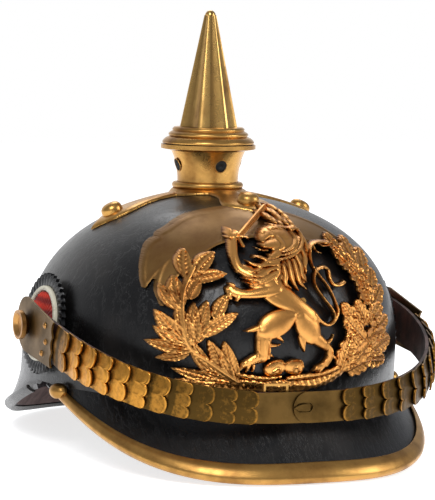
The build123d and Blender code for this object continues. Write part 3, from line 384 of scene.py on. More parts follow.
def begin(name):
    """A new material, its shader and its Object coordinates."""
    material = bpy.data.materials.new(name)
    material.use_nodes = True
    tree = material.node_tree
    place = add(tree, "TexCoord").outputs["Object"]
    return material, tree, tree.nodes["Principled BSDF"], place


def noise(tree, place, millimetres, detail=4.0, roughness=0.55, stretch=None):
    """Noise output of a size in millimetres, drawn out along an axis where stretch is given."""
    if stretch:
        place = add(tree, "Mapping", {"Vector": place, "Scale": stretch}).outputs["Vector"]
    return add(tree, "TexNoise", {
        "Vector": place, "Scale": per(millimetres), "Detail": detail, "Roughness": roughness,
    }).outputs["Fac"]


def ranged(tree, value, low, high, to_low=0.0, to_high=1.0):
    """A value taken from one range to another and held there."""
    return add(tree, "MapRange", {
        "Value": value, "From Min": low, "From Max": high, "To Min": to_low, "To Max": to_high,
    }).outputs["Result"]


def mixed(tree, share, first, second):
    """Colour between two by a share."""
    return add(tree, "Mix", {0: share, 6: first, 7: second}, data_type="RGBA").outputs[2]


def bumped(tree, shader, height, millimetres, strength):
    """Bump of a depth in millimetres on the shader."""
    bump = add(tree, "Bump", {"Height": height, "Distance": millimetres * MM, "Strength": strength})
    tree.links.new(bump.outputs["Normal"], shader.inputs["Normal"])


def wire(tree, shader, colour_out, rough_out=None):
    """Feed the shader's colour and, where given, its roughness."""
    tree.links.new(colour_out, shader.inputs["Base Color"])
    if rough_out is not None:
        tree.links.new(rough_out, shader.inputs["Roughness"])


def lacquered_leather(name, base, worn, grain_mm, crack_stretch):
    """Tanned leather under black lacquer: glossy, with pebbled grain, cracks and rubbed spots."""
    material, tree, shader, place = begin(name)
    patches = noise(tree, place, 38, 5)
    rubbed = ranged(tree, patches, 0.52, 0.72)
    wire(tree, shader, mixed(tree, rubbed, base, worn),
         ranged(tree, patches, 0.3, 0.7, 0.24, 0.40))
    grain = noise(tree, place, grain_mm, 3)
    cracks = noise(tree, place, 7, 6, 0.7, crack_stretch)
    line = ranged(tree, cracks, 0.46, 0.50)
    bumped(tree, shader, maths(tree, "MULTIPLY", grain, line), 0.25, 0.55)
    feed(tree, shader, {"Specular IOR Level": 0.32, "Coat Weight": 0.12, "Coat Roughness": 0.16})
    return material


def plain_leather(name, base, dark, grain_mm=1.2):
    """Undyed or dyed leather without lacquer: dull, with an open grain and darker patches."""
    material, tree, shader, place = begin(name)
    patches = noise(tree, place, 9, 5)
    wire(tree, shader, mixed(tree, ranged(tree, patches, 0.35, 0.65), base, dark),
         ranged(tree, patches, 0.3, 0.7, 0.5, 0.72))
    bumped(tree, shader, noise(tree, place, grain_mm, 4), 0.3, 0.6)
    return material


def aged_brass(name, base, dark, polish=0.26, scuff_mm=0.9, recess_shade=False):
    """Rolled brass, polished and left to age: warm metal with brown patina and fine scratches, and,
    where asked, painted shade that darkens the hollows by a per-point attribute.
    """
    material, tree, shader, place = begin(name)
    patches = noise(tree, place, 22, 6, 0.6)
    patina = ranged(tree, patches, 0.45, 0.78)
    # Painted shade: the per-point attribute darkens hollows as far as the patina colour
    if recess_shade:
        hollow_shade = add(tree, "Attribute", attribute_name="recess_shade").outputs["Fac"]
        patina = maths(tree, "MAXIMUM", patina, hollow_shade)
    wire(tree, shader, mixed(tree, patina, base, dark),
         ranged(tree, patches, 0.3, 0.75, polish, polish + 0.2))
    bumped(tree, shader, noise(tree, place, scuff_mm, 3, 0.6, (1, 1, 3)), 0.06, 0.5)
    feed(tree, shader, {"Metallic": 1.0})
    return material


def hollow_brass(name, base, dark):
    """Spun brass of the neck: polished outside, with painted shade, near black, on the faces that look
    inward.
    """
    material, tree, shader, place = begin(name)
    facing = add(tree, "TexCoord").outputs["Normal"]
    flat = add(tree, "VectorMath", {0: place, 1: (1, 1, 0)}, operation="MULTIPLY").outputs[0]
    outward = add(tree, "VectorMath", {0: flat}, operation="NORMALIZE").outputs[0]
    turned = add(tree, "VectorMath", {0: facing, 1: outward}, operation="DOT_PRODUCT").outputs["Value"]
    # Painted shade: faces turned towards the axis are mixed to near black for the shade inside the neck
    inner = ranged(tree, turned, -0.1, 0.05, 1, 0)
    patches = noise(tree, place, 18, 6, 0.6)
    skin = mixed(tree, ranged(tree, patches, 0.45, 0.78), base, dark)
    wire(tree, shader, mixed(tree, inner, skin, linear("#080604")),
         ranged(tree, patches, 0.3, 0.75, 0.22, 0.4))
    bumped(tree, shader, noise(tree, place, 0.8, 3, 0.6, (1, 1, 3)), 0.05, 0.5)
    feed(tree, shader, {"Metallic": 1.0})
    return material


def tarnished_scales(name, bright, dark):
    """Stamped brass scales: orange where they are rubbed, olive brown where tarnish has stayed; the age
    share also carries painted shadow in the gaps and a painted highlight on the lobes' edges.
    """
    material, tree, shader, place = begin(name)
    # The age attribute holds tarnish together with painted shadow and painted highlight
    age = add(tree, "Attribute", attribute_name="age").outputs["Fac"]
    speck = ranged(tree, noise(tree, place, 2.2, 6, 0.7), 0.42, 0.72, 0.0, 0.45)
    share = maths(tree, "ADD", age, speck, use_clamp=True)
    wire(tree, shader, mixed(tree, share, bright, dark), ranged(tree, share, 0, 1, 0.3, 0.46))
    bumped(tree, shader, noise(tree, place, 0.9, 4), 0.08, 0.5)
    feed(tree, shader, {"Metallic": 1.0})
    return material


def enamel(name, base, dark, shine):
    """Fired or painted enamel: opaque colour with a soft shine and fine dirt."""
    material, tree, shader, place = begin(name)
    patches = noise(tree, place, 6, 6, 0.65)
    wire(tree, shader, mixed(tree, ranged(tree, patches, 0.55, 0.75), base, dark),
         ranged(tree, patches, 0.3, 0.7, shine, shine + 0.15))
    bumped(tree, shader, noise(tree, place, 1.2, 3), 0.05, 0.4)
    return material


def ribbed_cloth(name, base, dark, thread_mm):
    """Corded cloth: rows of raised threads, dull, with painted shade that darkens it between the rows.
    """
    material, tree, shader, place = begin(name)
    wave = add(tree, "TexWave", {
        "Vector": place, "Scale": per(thread_mm) / 20, "Distortion": 1.2,
        "Detail": 2.0, "Detail Scale": 2.0}, wave_type="BANDS", bands_direction="Z").outputs["Fac"]
    fuzz = noise(tree, place, 0.7, 3)
    share = maths(tree, "MULTIPLY", wave, fuzz)
    # Painted shade: the colour darkens where the rows dip between threads
    wire(tree, shader, mixed(tree, ranged(tree, share, 0.05, 0.5), dark, base))
    bumped(tree, shader, share, 0.3, 0.7)
    feed(tree, shader, {"Roughness": 0.8, "Sheen Weight": 0.2})
    return material


# Peaks

def peak_sizes(side):
    """Half width, reach, root, power and rise power of a peak's edge, and its cover's wall."""
    if side < 0:
        return 96 * MM, 147 * MM, 12 * MM, 2.5, 1.5, 0.7 * MM
    return 99 * MM, 146.7 * MM, -14 * MM, 2.2, 1.8, 0.9 * MM


def peak_lines(side, turns, edge_height):
    """Rim, edge and slope, under and flat directions of a peak: its edge is a superellipse in plan that
    rises to the rim's ends."""
    s = sizes()
    half_width, reach, root, power, rise_power, _ = peak_sizes(side)
    across, ahead = np.abs(np.sin(turns)), np.abs(np.cos(turns))
    size = (across ** power + ahead ** power) ** (-1 / power)
    forward = ahead * size
    x = half_width * np.sin(turns) * size
    y = side * (root + (reach - root) * forward)
    fall = (1 - np.minimum(forward, 1) ** (power / 2)) ** rise_power
    z = edge_height + (s.skull_rim - edge_height) * fall
    edge = np.stack([x, y, z], -1)
    share_x, share_y = x / s.skull_half_width, (y + s.skull_forward) / s.skull_half_length
    total = np.hypot(share_x, share_y)
    rim = np.stack([share_x / total * s.skull_half_width,
                    share_y / total * s.skull_half_length - s.skull_forward,
                    np.full_like(x, s.skull_rim)], -1)
    slope = edge - rim
    slope /= np.linalg.norm(slope, axis=-1, keepdims=True)
    flat = slope * (1, 1, 0)
    flat /= np.linalg.norm(flat, axis=-1, keepdims=True)
    level = (slope * flat).sum(-1, keepdims=True)
    under = flat * slope[..., 2:] - level * (0, 0, 1)
    return rim, edge, slope, under, flat


def peak_edge_height(side):
    """Height of the top edge that lays the covered edge on the floor."""
    wall = sizes().peak_wall
    cover = peak_sizes(side)[5] + EDGE_GAP
    height = wall
    for _ in range(30):
        _, _, slope, under, _ = peak_lines(side, np.zeros(1), height)
        height = (wall + cover) * -under[0, 2] - cover * slope[0, 2]
    return height


def rounded(corners, radius_share, count=5):
    """Profile with each corner cut by a quadratic curve; corners are rows of points along a path."""
    parts = []
    for k, share in enumerate(radius_share):
        before, here, after = corners[k - 1], corners[k], corners[(k + 1) % len(corners)]
        start, end = here + (before - here) * share, here + (after - here) * share
        for t in np.linspace(0, 1, count):
            parts.append((1 - t) ** 2 * start + 2 * t * (1 - t) * here + t ** 2 * end)
    return np.stack(parts, 1)


class HELMET_OT_skull(bpy.types.Operator):
    """Leather skull with its rim and its crown bore"""
    bl_idname = "helmet.skull"
    bl_label = "Skull"

    def execute(self, context):
        s, c = sizes(), colours()
        # The outer line runs from the rim to the crown bore, the inner one back, and both go round
        turns = np.linspace(0, FULL_TURN, 240, endpoint=False)
        last = math.acos(s.crown_bore / s.skull_half_width)
        rise = np.linspace(0, 1, 90) ** 1.15 * last
        outer = dome_point(turns[:, None], rise[None, :], 0.0)
        inner = dome_point(turns[:, None], rise[None, ::-1], -s.skull_wall)
        leather = lacquered_leather(
            "black_lacquered_leather", c.leather, c.leather_worn, 0.9, (1, 1, 0.5))
        make_piece("skull_leather", [loop_shell(np.concatenate([outer, inner], 1), True)],
                   "helmet", leather, ["skull_shell"], sharp=40)
        return {"FINISHED"}


class HELMET_OT_peaks(bpy.types.Operator):
    """Front peak and neck guard"""
    bl_idname = "helmet.peaks"
    bl_label = "Peaks"

    def execute(self, context):
        s, c = sizes(), colours()
        # A section goes from the skull's inside down the slope, sagging by a sine, round the edge and
        # back underneath, and is carried along the turn
        names = {-1: ("front_peak", "front_visor"), 1: ("neck_guard", "rear_visor")}
        looks = {
            -1: lacquered_leather(
                "cracked_black_leather", c.leather, c.leather_worn, 0.8, (3, 0.5, 0.5)),
            # The neck guard's leather carries a painted plum sheen in its colour
            1: lacquered_leather("black_leather_painted_plum_sheen", c.guard, c.leather_worn, 1.0, (3, 0.5, 0.5))}
        for side, (name, node) in names.items():
            turns = np.radians(np.linspace(-88.6, 88.6, 181))
            rim, edge, slope, under, flat = peak_lines(side, turns, peak_edge_height(side))
            wall = s.peak_wall
            knee = -(wall + wall * under[:, 2:]) / slope[:, 2:]
            length_along = np.linalg.norm(edge - rim, axis=1)[:, None]
            steps = np.linspace(0, 1, 24)
            sag = 0.9 * MM * np.sin(math.pi * steps)
            top = [rim + slope * length_along * t + under * d for t, d in zip(steps, sag)]
            low_start = rim + under * wall + slope * knee
            low_end = edge + under * wall
            low = [low_end + (low_start - low_end) * t for t in np.linspace(0, 1, 10)]
            inner = rim - flat * s.skull_wall
            profile = np.stack([inner] + top + low + [inner - (0, 0, wall)], 1)
            make_piece(name, [loop_shell(profile, False)], "helmet", looks[side],
                       [node], sharp=50)
        return {"FINISHED"}


class HELMET_OT_edging(bpy.types.Operator):
    """Brass edge of the front peak and rolled edge of the neck guard"""
    bl_idname = "helmet.edging"
    bl_label = "Edging"

    def execute(self, context):
        s, c = sizes(), colours()
        # A section wraps the peak's edge, and its band narrows by the square of the turn
        brass = aged_brass("aged_rolled_brass", c.brass, c.brass_dark)
        roll = lacquered_leather("rolled_black_edge", c.leather, c.leather_worn, 1.2, (1, 1, 1))
        rows = {
            -1: ("brass_edge", "front_visor_trim", 81, 9.5, 5.0, 3.5, "aged_brass", brass),
            1: ("rolled_edge", "rear_visor_binding", 84, 5.0, 1.4, 3.0, "peak_leather", roll)}
        for side, (name, node, limit, band, end_band, lip, slot, look) in rows.items():
            turns = np.radians(np.linspace(-limit, limit, 241))
            _, edge, slope, under, _ = peak_lines(side, turns, peak_edge_height(side))
            fade = (np.abs(turns) / math.radians(limit))[:, None]
            width = (band + (end_band - band) * fade ** 2) * MM
            low = np.minimum(lip * MM, width)
            cover = peak_sizes(side)[5]
            tip = edge + slope * EDGE_GAP
            top, down = -under * EDGE_GAP, under * (s.peak_wall + EDGE_GAP)
            crown = -under * (cover + 0.9 * MM)
            corners = [tip + slope * cover + top - under * cover * 0.6,
                       tip - slope * width * 0.5 + top + crown,
                       tip - slope * width + top - under * cover,
                       tip - slope * width + top,
                       tip + top, tip + down,
                       tip - slope * low + down, tip - slope * low + down + under * cover,
                       tip + slope * cover + down + under * cover]
            shares = [0.45, 0.35, 0.25, 0.1, 0.1, 0.1, 0.1, 0.2, 0.35]
            make_piece(name, [loop_shell(rounded(corners, shares), False)], "helmet", look,
                       [node], sharp=60)
        return {"FINISHED"}


# Cross, neck and spike

def cross_outside(x, y):
    """Distance outside the cross's plan: a round hub and four arms whose half width follows stations
    along them and closes to a point."""
    ax, ay = np.abs(x), np.abs(y)
    along, across = np.maximum(ax, ay), np.minimum(ax, ay)
    stations = np.array([0, 12, 23, 31, 37, 43, 48, 52, 56, 59.5, 62.5, 64.6, 66]) * MM
    widths = np.array([8.5, 8.6, 8.4, 8.5, 9.4, 11.6, 13.0, 13.0, 11.2, 8.2, 4.6, 2.0, 0]) * MM
    fine = smooth_line(np.stack([stations, widths], 1), 8)
    half = np.interp(along, fine[:, 0], fine[:, 1], right=0)
    apart = fine[:, 0] + 1e-9 * np.arange(len(fine))
    slope = np.interp(along, fine[:, 0], np.gradient(fine[:, 1], apart))
    arm = (across - half) / np.sqrt(1 + np.minimum(slope ** 2, 4))
    arm = np.maximum(arm, along - CROSS_REACH)
    return np.minimum(arm, np.hypot(x, y) - CROSS_HUB)


class HELMET_OT_cross(bpy.types.Operator):
    """Brass cross on the crown"""
    bl_idname = "helmet.cross"
    bl_label = "Cross"

    def execute(self, context):
        c = colours()
        # The lift is a quarter circle over the outer 6 mm, and the hub is raised to a flat seat
        line = np.arange(-67.2, 67.3, 0.6) * MM
        x, y = np.meshgrid(line, line, indexing="ij")
        outside = cross_outside(x, y)
        depth = np.clip(-outside, 0, 6 * MM)
        dome = np.sqrt(np.clip(1 - (1 - depth / (6 * MM)) ** 2, 0, 1))
        lift = (0.9 + 1.5 * dome) * MM
        back = np.full_like(lift, 0.3 * MM)
        radius = np.hypot(x, y)

        def place(px, py, raised):
            """Point of the skull, raised to the seat over the hub by a smooth step of the radius."""
            point = crown_point(px, py, raised)
            near = np.clip((21.5 * MM - np.hypot(px, py)) / (3.3 * MM), 0, 1)
            near = near * near * (3 - 2 * near) * (raised > 0.6 * MM)
            point[..., 2] += (np.maximum(CROSS_SEAT, point[..., 2]) - point[..., 2]) * near
            return point

        outside = np.maximum(outside, CROSS_HOLE - radius)
        shell, _ = relief_shell(x, y, outside, lift, back, place)
        brass = aged_brass("aged_cast_brass", c.brass, c.brass_dark)
        make_piece("crown_cross", [shell], "helmet", brass, ["cruciform_base"], sharp=50)
        return {"FINISHED"}


def turned_shell(profile, count=128):
    """Closed profile of radius and height turned round the Z axis."""
    turns = np.linspace(0, FULL_TURN, count, endpoint=False)[:, None]
    profile = np.asarray(profile) * MM
    points = np.stack([profile[:, 0] * np.cos(turns), profile[:, 0] * np.sin(turns),
                       np.broadcast_to(profile[:, 1], (count, len(profile)))], -1)
    return loop_shell(points, True)


class HELMET_OT_spike(bpy.types.Operator):
    """Fluted spike, its moulded foot, and the rims of the neck's vents with dark plates of painted
    shade in them
    """
    bl_idname = "helmet.spike"
    bl_label = "Spike"

    def execute(self, context):
        s, c = sizes(), colours()
        brass = aged_brass("aged_polished_brass", c.brass, c.brass_dark, 0.22)
        # The foot is a moulded profile turned round, and the spike a cone whose radius is cut by the
        # sine of three times the turn, which leaves six flutes between six narrow ridges
        foot = smooth_line([(5.1, 159.75), (18, 159.72), (23.6, 159.75), (24.4, 160.2), (24.3, 161.1),
                            (22.9, 162.6), (21.3, 163.4), (20.6, 163.7), (21.2, 164.2), (21.0, 165.3),
                            (19.4, 166.4), (19.0, 166.8), (19.3, 167.3), (18.6, 168.2), (16.9, 168.6),
                            (5.1, 168.6)], 5)
        make_piece("spike_foot", [turned_shell(foot)], "spike", brass,
                   ["spike_flange"], sharp=70)
        low, high = SPIKE_FOOT_Z, s.spike_top - s.spike_tip
        turns = np.linspace(0, FULL_TURN, 6 * 28, endpoint=False)
        t = np.linspace(0, 1, 80)
        radius = s.spike_base + (s.spike_tip - s.spike_base) * t
        wave = np.abs(np.sin(3 * turns))
        flute = 0.985 - 0.25 * np.clip((wave - 0.1) / 0.9, 0, 1) ** 0.7
        flute += 0.015 * np.exp(-((wave - 0.09) / 0.06) ** 2)
        grid = radius[:, None] * flute
        cap = np.linspace(0, math.pi / 2, 10)[1:]
        tip = s.spike_tip * 0.86
        heights = np.concatenate([[low], low + (high - low) * t, high + tip * np.sin(cap)])
        round_tip = tip * np.cos(cap)[:, None] * np.ones(len(turns))
        grid = np.concatenate([np.full((1, len(turns)), SCREW_RADIUS), grid, round_tip])
        angle = turns + math.radians(FLUTE_TURN - 90)
        points = np.stack([grid * np.cos(angle), grid * np.sin(angle),
                           np.broadcast_to(heights[:, None], grid.shape)], -1)
        rows, columns = grid.shape
        flat = points.reshape(-1, 3)
        faces = grid_faces(rows, columns, False, True)
        ring = np.arange(columns)
        flat = np.vstack([flat, (0, 0, low)])
        floor = np.stack([np.roll(ring, -1), ring, np.full(columns, len(flat) - 1),
                          np.full(columns, len(flat) - 1)], -1)
        # Painted shade: one side of each flute's hollow is darkened towards the patina colour
        flute_shade = np.clip((wave - 0.2) / 0.8, 0, 1) * 0.55 * (np.cos(turns * 3 + 0.4) > 0)
        recess_shade = np.append(np.broadcast_to(flute_shade, grid.shape).ravel(), 0)
        fluted = aged_brass("aged_fluted_brass", c.spike_brass, c.brass_dark, 0.2, recess_shade=True)
        make_piece("fluted_spike", [(flat, np.concatenate([faces, floor]))], "spike",
                   fluted, ["spike_cone"], {"recess_shade": recess_shade}, sharp=20)
        # A rim is a ring whose reach follows the neck's flare. The dark plates are painted shade
        # standing for the vents on the neck's outside: the frame's neck is bored only at +X, the other
        # three places are solid.
        rims, hollows = [], []
        plug = np.array([(0.02, -0.2), (3.2, -0.2), (3.2, 0.1), (0.02, 0.1)]) * MM
        around = np.linspace(0, FULL_TURN, 40, endpoint=False)[:, None]
        small = np.linspace(0, FULL_TURN, 10, endpoint=False)[None, :]
        rim_radius = (VENT_RIM_RADIUS + VENT_WIRE_RADIUS * np.cos(small)) * MM
        rim_rise = VENT_WIRE_RADIUS * MM * np.sin(small)
        parts = ((rim_radius, rim_rise, rims), (plug[None, :, 0], plug[None, :, 1], hollows))
        for k in range(VENT_COUNT):
            turn = FULL_TURN * k / VENT_COUNT
            out = np.array((math.cos(turn), math.sin(turn), 0))
            side = np.array((-math.sin(turn), math.cos(turn), 0))
            for ring_radius, rise, found in parts:
                height = ring_radius * np.sin(around)
                reach = NECK_RADIUS + rise + NECK_FLARE * height
                offset = ring_radius * np.cos(around)
                reach = np.sqrt(np.maximum(reach ** 2 - offset ** 2, 0))
                point = (out * reach[..., None] + side * offset[..., None]
                         + np.array((0, 0, 1)) * (VENT_Z + height)[..., None])
                found.append(loop_shell(point, True))
        make_piece("vent_rims", rims, "helmet", brass)
        # Near-black plates painted as the shade inside the vent holes
        vent_shade = enamel("painted_vent_shade", linear("#070605"), linear("#0C0A08"), 0.7)
        make_piece("vent_shade_plates", hollows, "helmet", vent_shade)
        neck = frame["nodes"]["spike_neck"]
        neck.data.materials.clear()
        neck.data.materials.append(hollow_brass("aged_neck_brass", c.brass, c.brass_dark))
        return {"FINISHED"}


# Front plate

def chain_layer(u, v, stations, low, top):
    """Rounded limb through stations of place and radius: the distance outside the nearest span, and a
    quarter-circle lift across it, in millimetres."""
    line = smooth_line(stations, 8)
    best = np.full(u.shape, 1e3)
    share = np.zeros(u.shape)
    for (ax, az, ar), (bx, bz, br) in zip(line, line[1:]):
        dx, dz = bx - ax, bz - az
        t = np.clip(((u - ax) * dx + (v - az) * dz) / max(dx * dx + dz * dz, 1e-9), 0, 1)
        radius = ar + (br - ar) * t
        far = np.hypot(u - ax - dx * t, v - az - dz * t)
        out = far - radius
        near = out < best
        best = np.where(near, out, best)
        share = np.where(near, far / np.maximum(radius, 0.05), share)
    return best, low + (top - low) * np.sqrt(np.clip(1 - share ** 2, 0, 1))


def leaf_layer(u, v, base, tip, width, low, top, lobes=0, bend=0.0):
    """Leaf from base to tip: its half width is a sine of the way along, cut by lobes on oak, and its
    lift adds a rim, a midrib and slanted side veins."""
    base, tip = np.array(base, float), np.array(tip, float)
    along = tip - base
    size = np.hypot(*along)
    along /= size
    t = ((u - base[0]) * along[0] + (v - base[1]) * along[1]) / size
    s = -(u - base[0]) * along[1] + (v - base[1]) * along[0] - bend * np.sin(math.pi * np.clip(t, 0, 1))
    inner = np.clip(t, 0, 1)
    half = width / 2 * np.sin(math.pi * inner ** 0.85) ** (0.75 if not lobes else 0.5)
    if lobes:
        half = half * (0.72 + 0.28 * np.abs(np.sin(math.pi * lobes * inner)) ** 0.7)
    out = np.maximum(np.abs(s) - half, np.maximum(-t, t - 1) * size)
    share = np.clip(np.abs(s) / np.maximum(half, 0.05), 0, 1)
    rib = np.exp(-(s / 0.45) ** 2)
    rim = np.exp(-((share - 0.86) / 0.12) ** 2)
    vein = 0.5 + 0.5 * np.sin(FULL_TURN * (t * size - 0.9 * np.abs(s)) / 2.1)
    lift = low + (top - low) * (0.35 + 0.25 * share + 0.35 * rim + 0.55 * rib + 0.12 * vein)
    return out, lift


LIMBS = [
    ([(-17.5, 100.2, 5.6), (-13, 93.2, 6.3), (-6.8, 87.8, 5.6), (-0.8, 82.8, 5.3),
      (3, 78.5, 6.1)], 3.2, 5),
    ([(-22.5, 97.2, 3.8), (-17.2, 93.2, 4.4), (-13, 89, 3.8), (-8.2, 86, 2.8)], 3.2, 4.8),
    ([(-13.5, 90.8, 1.9), (-8, 87.8, 2), (-4, 83, 2.1)], 3.7, 5),
    ([(-12.8, 94, 3.4), (-21.2, 92.2, 2.8), (-28.2, 91.5, 2.4), (-32.2, 92.2, 2.9),
      (-34, 93, 2.8)], 3.6, 5.4),
    ([(-34.5, 94.8, 1), (-36.2, 94, 0.6)], 4.2, 5.3),
    ([(-33, 95.8, 1), (-34.5, 96.2, 0.6)], 4.2, 5.3),
    ([(-35.5, 91.2, 1.1), (-35.2, 89.2, 0.5)], 4.2, 5.3),
    ([(-31.2, 90.8, 1.5), (-32.8, 88.5, 0.7)], 4.2, 5.3),
    ([(-24, 101.8, 3.4), (-28.2, 104.2, 2.5), (-28.5, 109.5, 2), (-27, 114, 1.9),
      (-25.2, 117.8, 1.9)], 3.4, 5.2),
    ([(-28, 105, 1.5), (-29.8, 101.8, 0.4)], 3.6, 4.8),
    ([(-25, 121, 1.2), (-25.8, 119, 1.6), (-22.5, 119.5, 1.7)], 4.2, 5.5),
    ([(-6.2, 81, 2.6), (-12.2, 78.2, 6), (-16.8, 75.8, 6.3), (-20.5, 73.2, 4.1)], 3.4, 5.4),
    ([(-23.5, 75.2, 1.6), (-27, 74, 1.2), (-30, 73.5, 0.3)], 3.4, 4.8),
    ([(-20.5, 72, 4.1), (-21.2, 67, 3.8), (-21.5, 62.2, 3.4)], 3.3, 5),
    ([(-21.8, 61, 3.2), (-26.5, 59, 2.5), (-30, 57, 2)], 3.4, 5),
    ([(-30, 57.8, 0.9), (-32, 54.5, 0.6)], 4, 5.1),
    ([(-28, 56.5, 0.9), (-29.2, 53.8, 0.6)], 4, 5.1),
    ([(-25.8, 56.5, 0.9), (-26.2, 54, 0.6)], 4, 5.1),
    ([(-17.5, 66.5, 1.2), (-14.5, 66.5, 0.8), (-12.8, 67.2, 0.3)], 3.2, 4.4),
    ([(-18, 62, 1.1), (-16, 60.8, 0.3)], 3.2, 4.4),
    ([(-15, 71.5, 1.5), (-12.2, 69.5, 0.8), (-11.2, 68, 0.3)], 3.2, 4.4),
    ([(-1, 79.8, 4.6), (2.2, 75.2, 6.5), (4.2, 71.5, 5.2)], 3.3, 5.3),
    ([(5.5, 70.2, 3.6), (10, 67, 2.8), (13.8, 64, 2.1), (13.8, 60, 2), (11, 56.2, 2),
      (7.5, 54.5, 2)], 3.3, 5),
    ([(7.5, 55.2, 0.9), (4.8, 53.5, 0.5)], 4, 5.1),
    ([(10.5, 55, 0.9), (8.8, 52.8, 0.5)], 4, 5.1),
    ([(13, 66.8, 1.3), (15.2, 68.5, 0.8), (16.5, 71, 0.3)], 3.2, 4.4),
    ([(15.2, 61, 1.3), (18, 59, 0.8), (19.5, 57, 0.3)], 3.2, 4.4),
    ([(-1.2, 70.5, 2.3), (-0.8, 66.8, 1.7), (-0.2, 63, 0.3)], 3.2, 4.4),
]
FUR = [
    [(-23.8, 69.5, 0.6), (-23.8, 64.8, 0.6), (-25.2, 60.2, 0.5), (-28.8, 58.8, 0.5)],
    [(-21.2, 69.5, 0.6), (-21, 64, 0.6), (-21.8, 60, 0.5), (-26.5, 57.5, 0.5)],
    [(-18.8, 69.5, 0.6), (-18.5, 64.2, 0.6), (-18.8, 60.2, 0.5)],
    [(10, 66.2, 0.5), (12.8, 63.8, 0.5), (12.8, 60, 0.5), (10, 56.5, 0.5)],
    [(12.2, 67, 0.5), (15.5, 63.5, 0.5), (15.2, 59.2, 0.5), (12.5, 55.5, 0.5)],
]
MANE = [
    [(8.8, 121.8, 0.7), (10.5, 119.5, 1.1), (8.8, 115.5, 1.1), (4.5, 111.8, 1.1), (-1.8, 109, 1),
     (-8.2, 107.8, 0.8), (-10.5, 108.5, 0.3)],
    [(8.5, 117.8, 0.5), (4.8, 114, 0.9), (0.5, 111.2, 0.9), (-5.2, 109.8, 0.7),
     (-8.5, 110.2, 0.3)],
    [(5.8, 120.2, 0.7), (5.8, 116.8, 1.1), (2, 113.5, 1), (-3.2, 111.5, 0.8), (-6.5, 111.5, 0.3)],
    [(10.8, 117.8, 0.8), (10.5, 113.8, 1.1), (9.2, 111, 0.4)],
    [(6.5, 112.8, 0.9), (6.8, 108.2, 1.3), (5.2, 104.8, 1.1), (4.5, 101.2, 0.3)],
    [(2, 109.5, 1.2), (2.8, 104.8, 1.5), (2, 100, 1.2), (3.8, 97, 0.3)],
    [(-0.2, 107.2, 1.2), (-0.2, 102, 1.5), (0, 97.2, 1.3), (2.8, 93.5, 0.3)],
    [(-3.2, 106.8, 1.2), (-3.5, 101.5, 1.5), (-3.5, 97.2, 1.2), (-1.8, 93, 0.3)],
    [(-6.5, 105, 1.2), (-6.8, 100.2, 1.5), (-7.8, 96.8, 1.2), (-5.2, 94.2, 0.3)],
    [(-8.8, 106.2, 1.2), (-10.2, 102, 1.3), (-12.2, 99.2, 1.1), (-11.8, 96, 0.3)],
    [(-8.2, 107.2, 0.9), (-12.8, 107.2, 1.2), (-16, 108.5, 1.1), (-18.8, 109.2, 0.7),
     (-20.5, 108.5, 0.3)],
    [(-9.5, 105.8, 1.1), (-14.8, 105.5, 1.2), (-18.5, 105, 1.1), (-22, 105.8, 0.9),
     (-23.8, 107.2, 0.3)],
    [(-10.2, 104, 1.1), (-14.2, 103.2, 1.2), (-18, 101, 1.2), (-22, 100.2, 1),
     (-25.5, 101.5, 0.3)],
    [(-11.5, 102, 1.1), (-15, 100.2, 1.2), (-19.2, 98.5, 1.2), (-24, 98.5, 1), (-28, 99.2, 0.3)],
    [(-12.5, 100.2, 0.9), (-17, 98, 1.1), (-21.5, 96.8, 0.9), (-25.2, 96.5, 0.7),
     (-28.2, 97.5, 0.3)],
    [(-11.8, 108.5, 0.7), (-15.8, 106.2, 0.9), (-20, 103.2, 0.9), (-23.5, 102.5, 0.7),
     (-25.8, 103.8, 0.3)],
]
TAILS = [
    [(6.2, 81.5, 1.2), (9.5, 77.8, 1.1), (13.8, 75.8, 1), (17.8, 77.8, 0.9), (20.2, 82, 0.9),
     (19.2, 87, 0.8), (16.5, 93.8, 0.8), (12.5, 99.8, 0.8), (10, 104.5, 0.7), (11, 109.8, 0.7),
     (14.5, 114, 0.8), (19.8, 115, 1), (26, 114.5, 1)],
    [(17.8, 78.5, 0.7), (17.5, 82, 0.8), (15.5, 85.2, 0.8), (11.8, 89.8, 0.8), (9, 94.5, 0.8),
     (9, 98.8, 0.7), (11.8, 102.2, 0.8), (16.5, 103.5, 1), (18.8, 102, 1.1), (18.5, 98.2, 1.1),
     (20, 95.2, 1.1), (24, 94.8, 1.1), (27.5, 96, 0.9)],
    [(14.8, 113.8, 0.8), (15.2, 111.2, 0.6), (18.2, 110, 0.3)],
    [(18.5, 114.5, 0.7), (21, 113.2, 0.6), (25.5, 113.2, 0.3)],
]
HILT = [
    [(-27.8, 117.8, 0.6), (-22.8, 118.5, 0.8), (-18.8, 117.8, 0.7)],
    [(-23.2, 118, 0.7), (-23, 115.8, 0.8), (-22.8, 114, 1)],
    [(-19, 118, 0.7), (-19, 116.8, 0.4)],
]
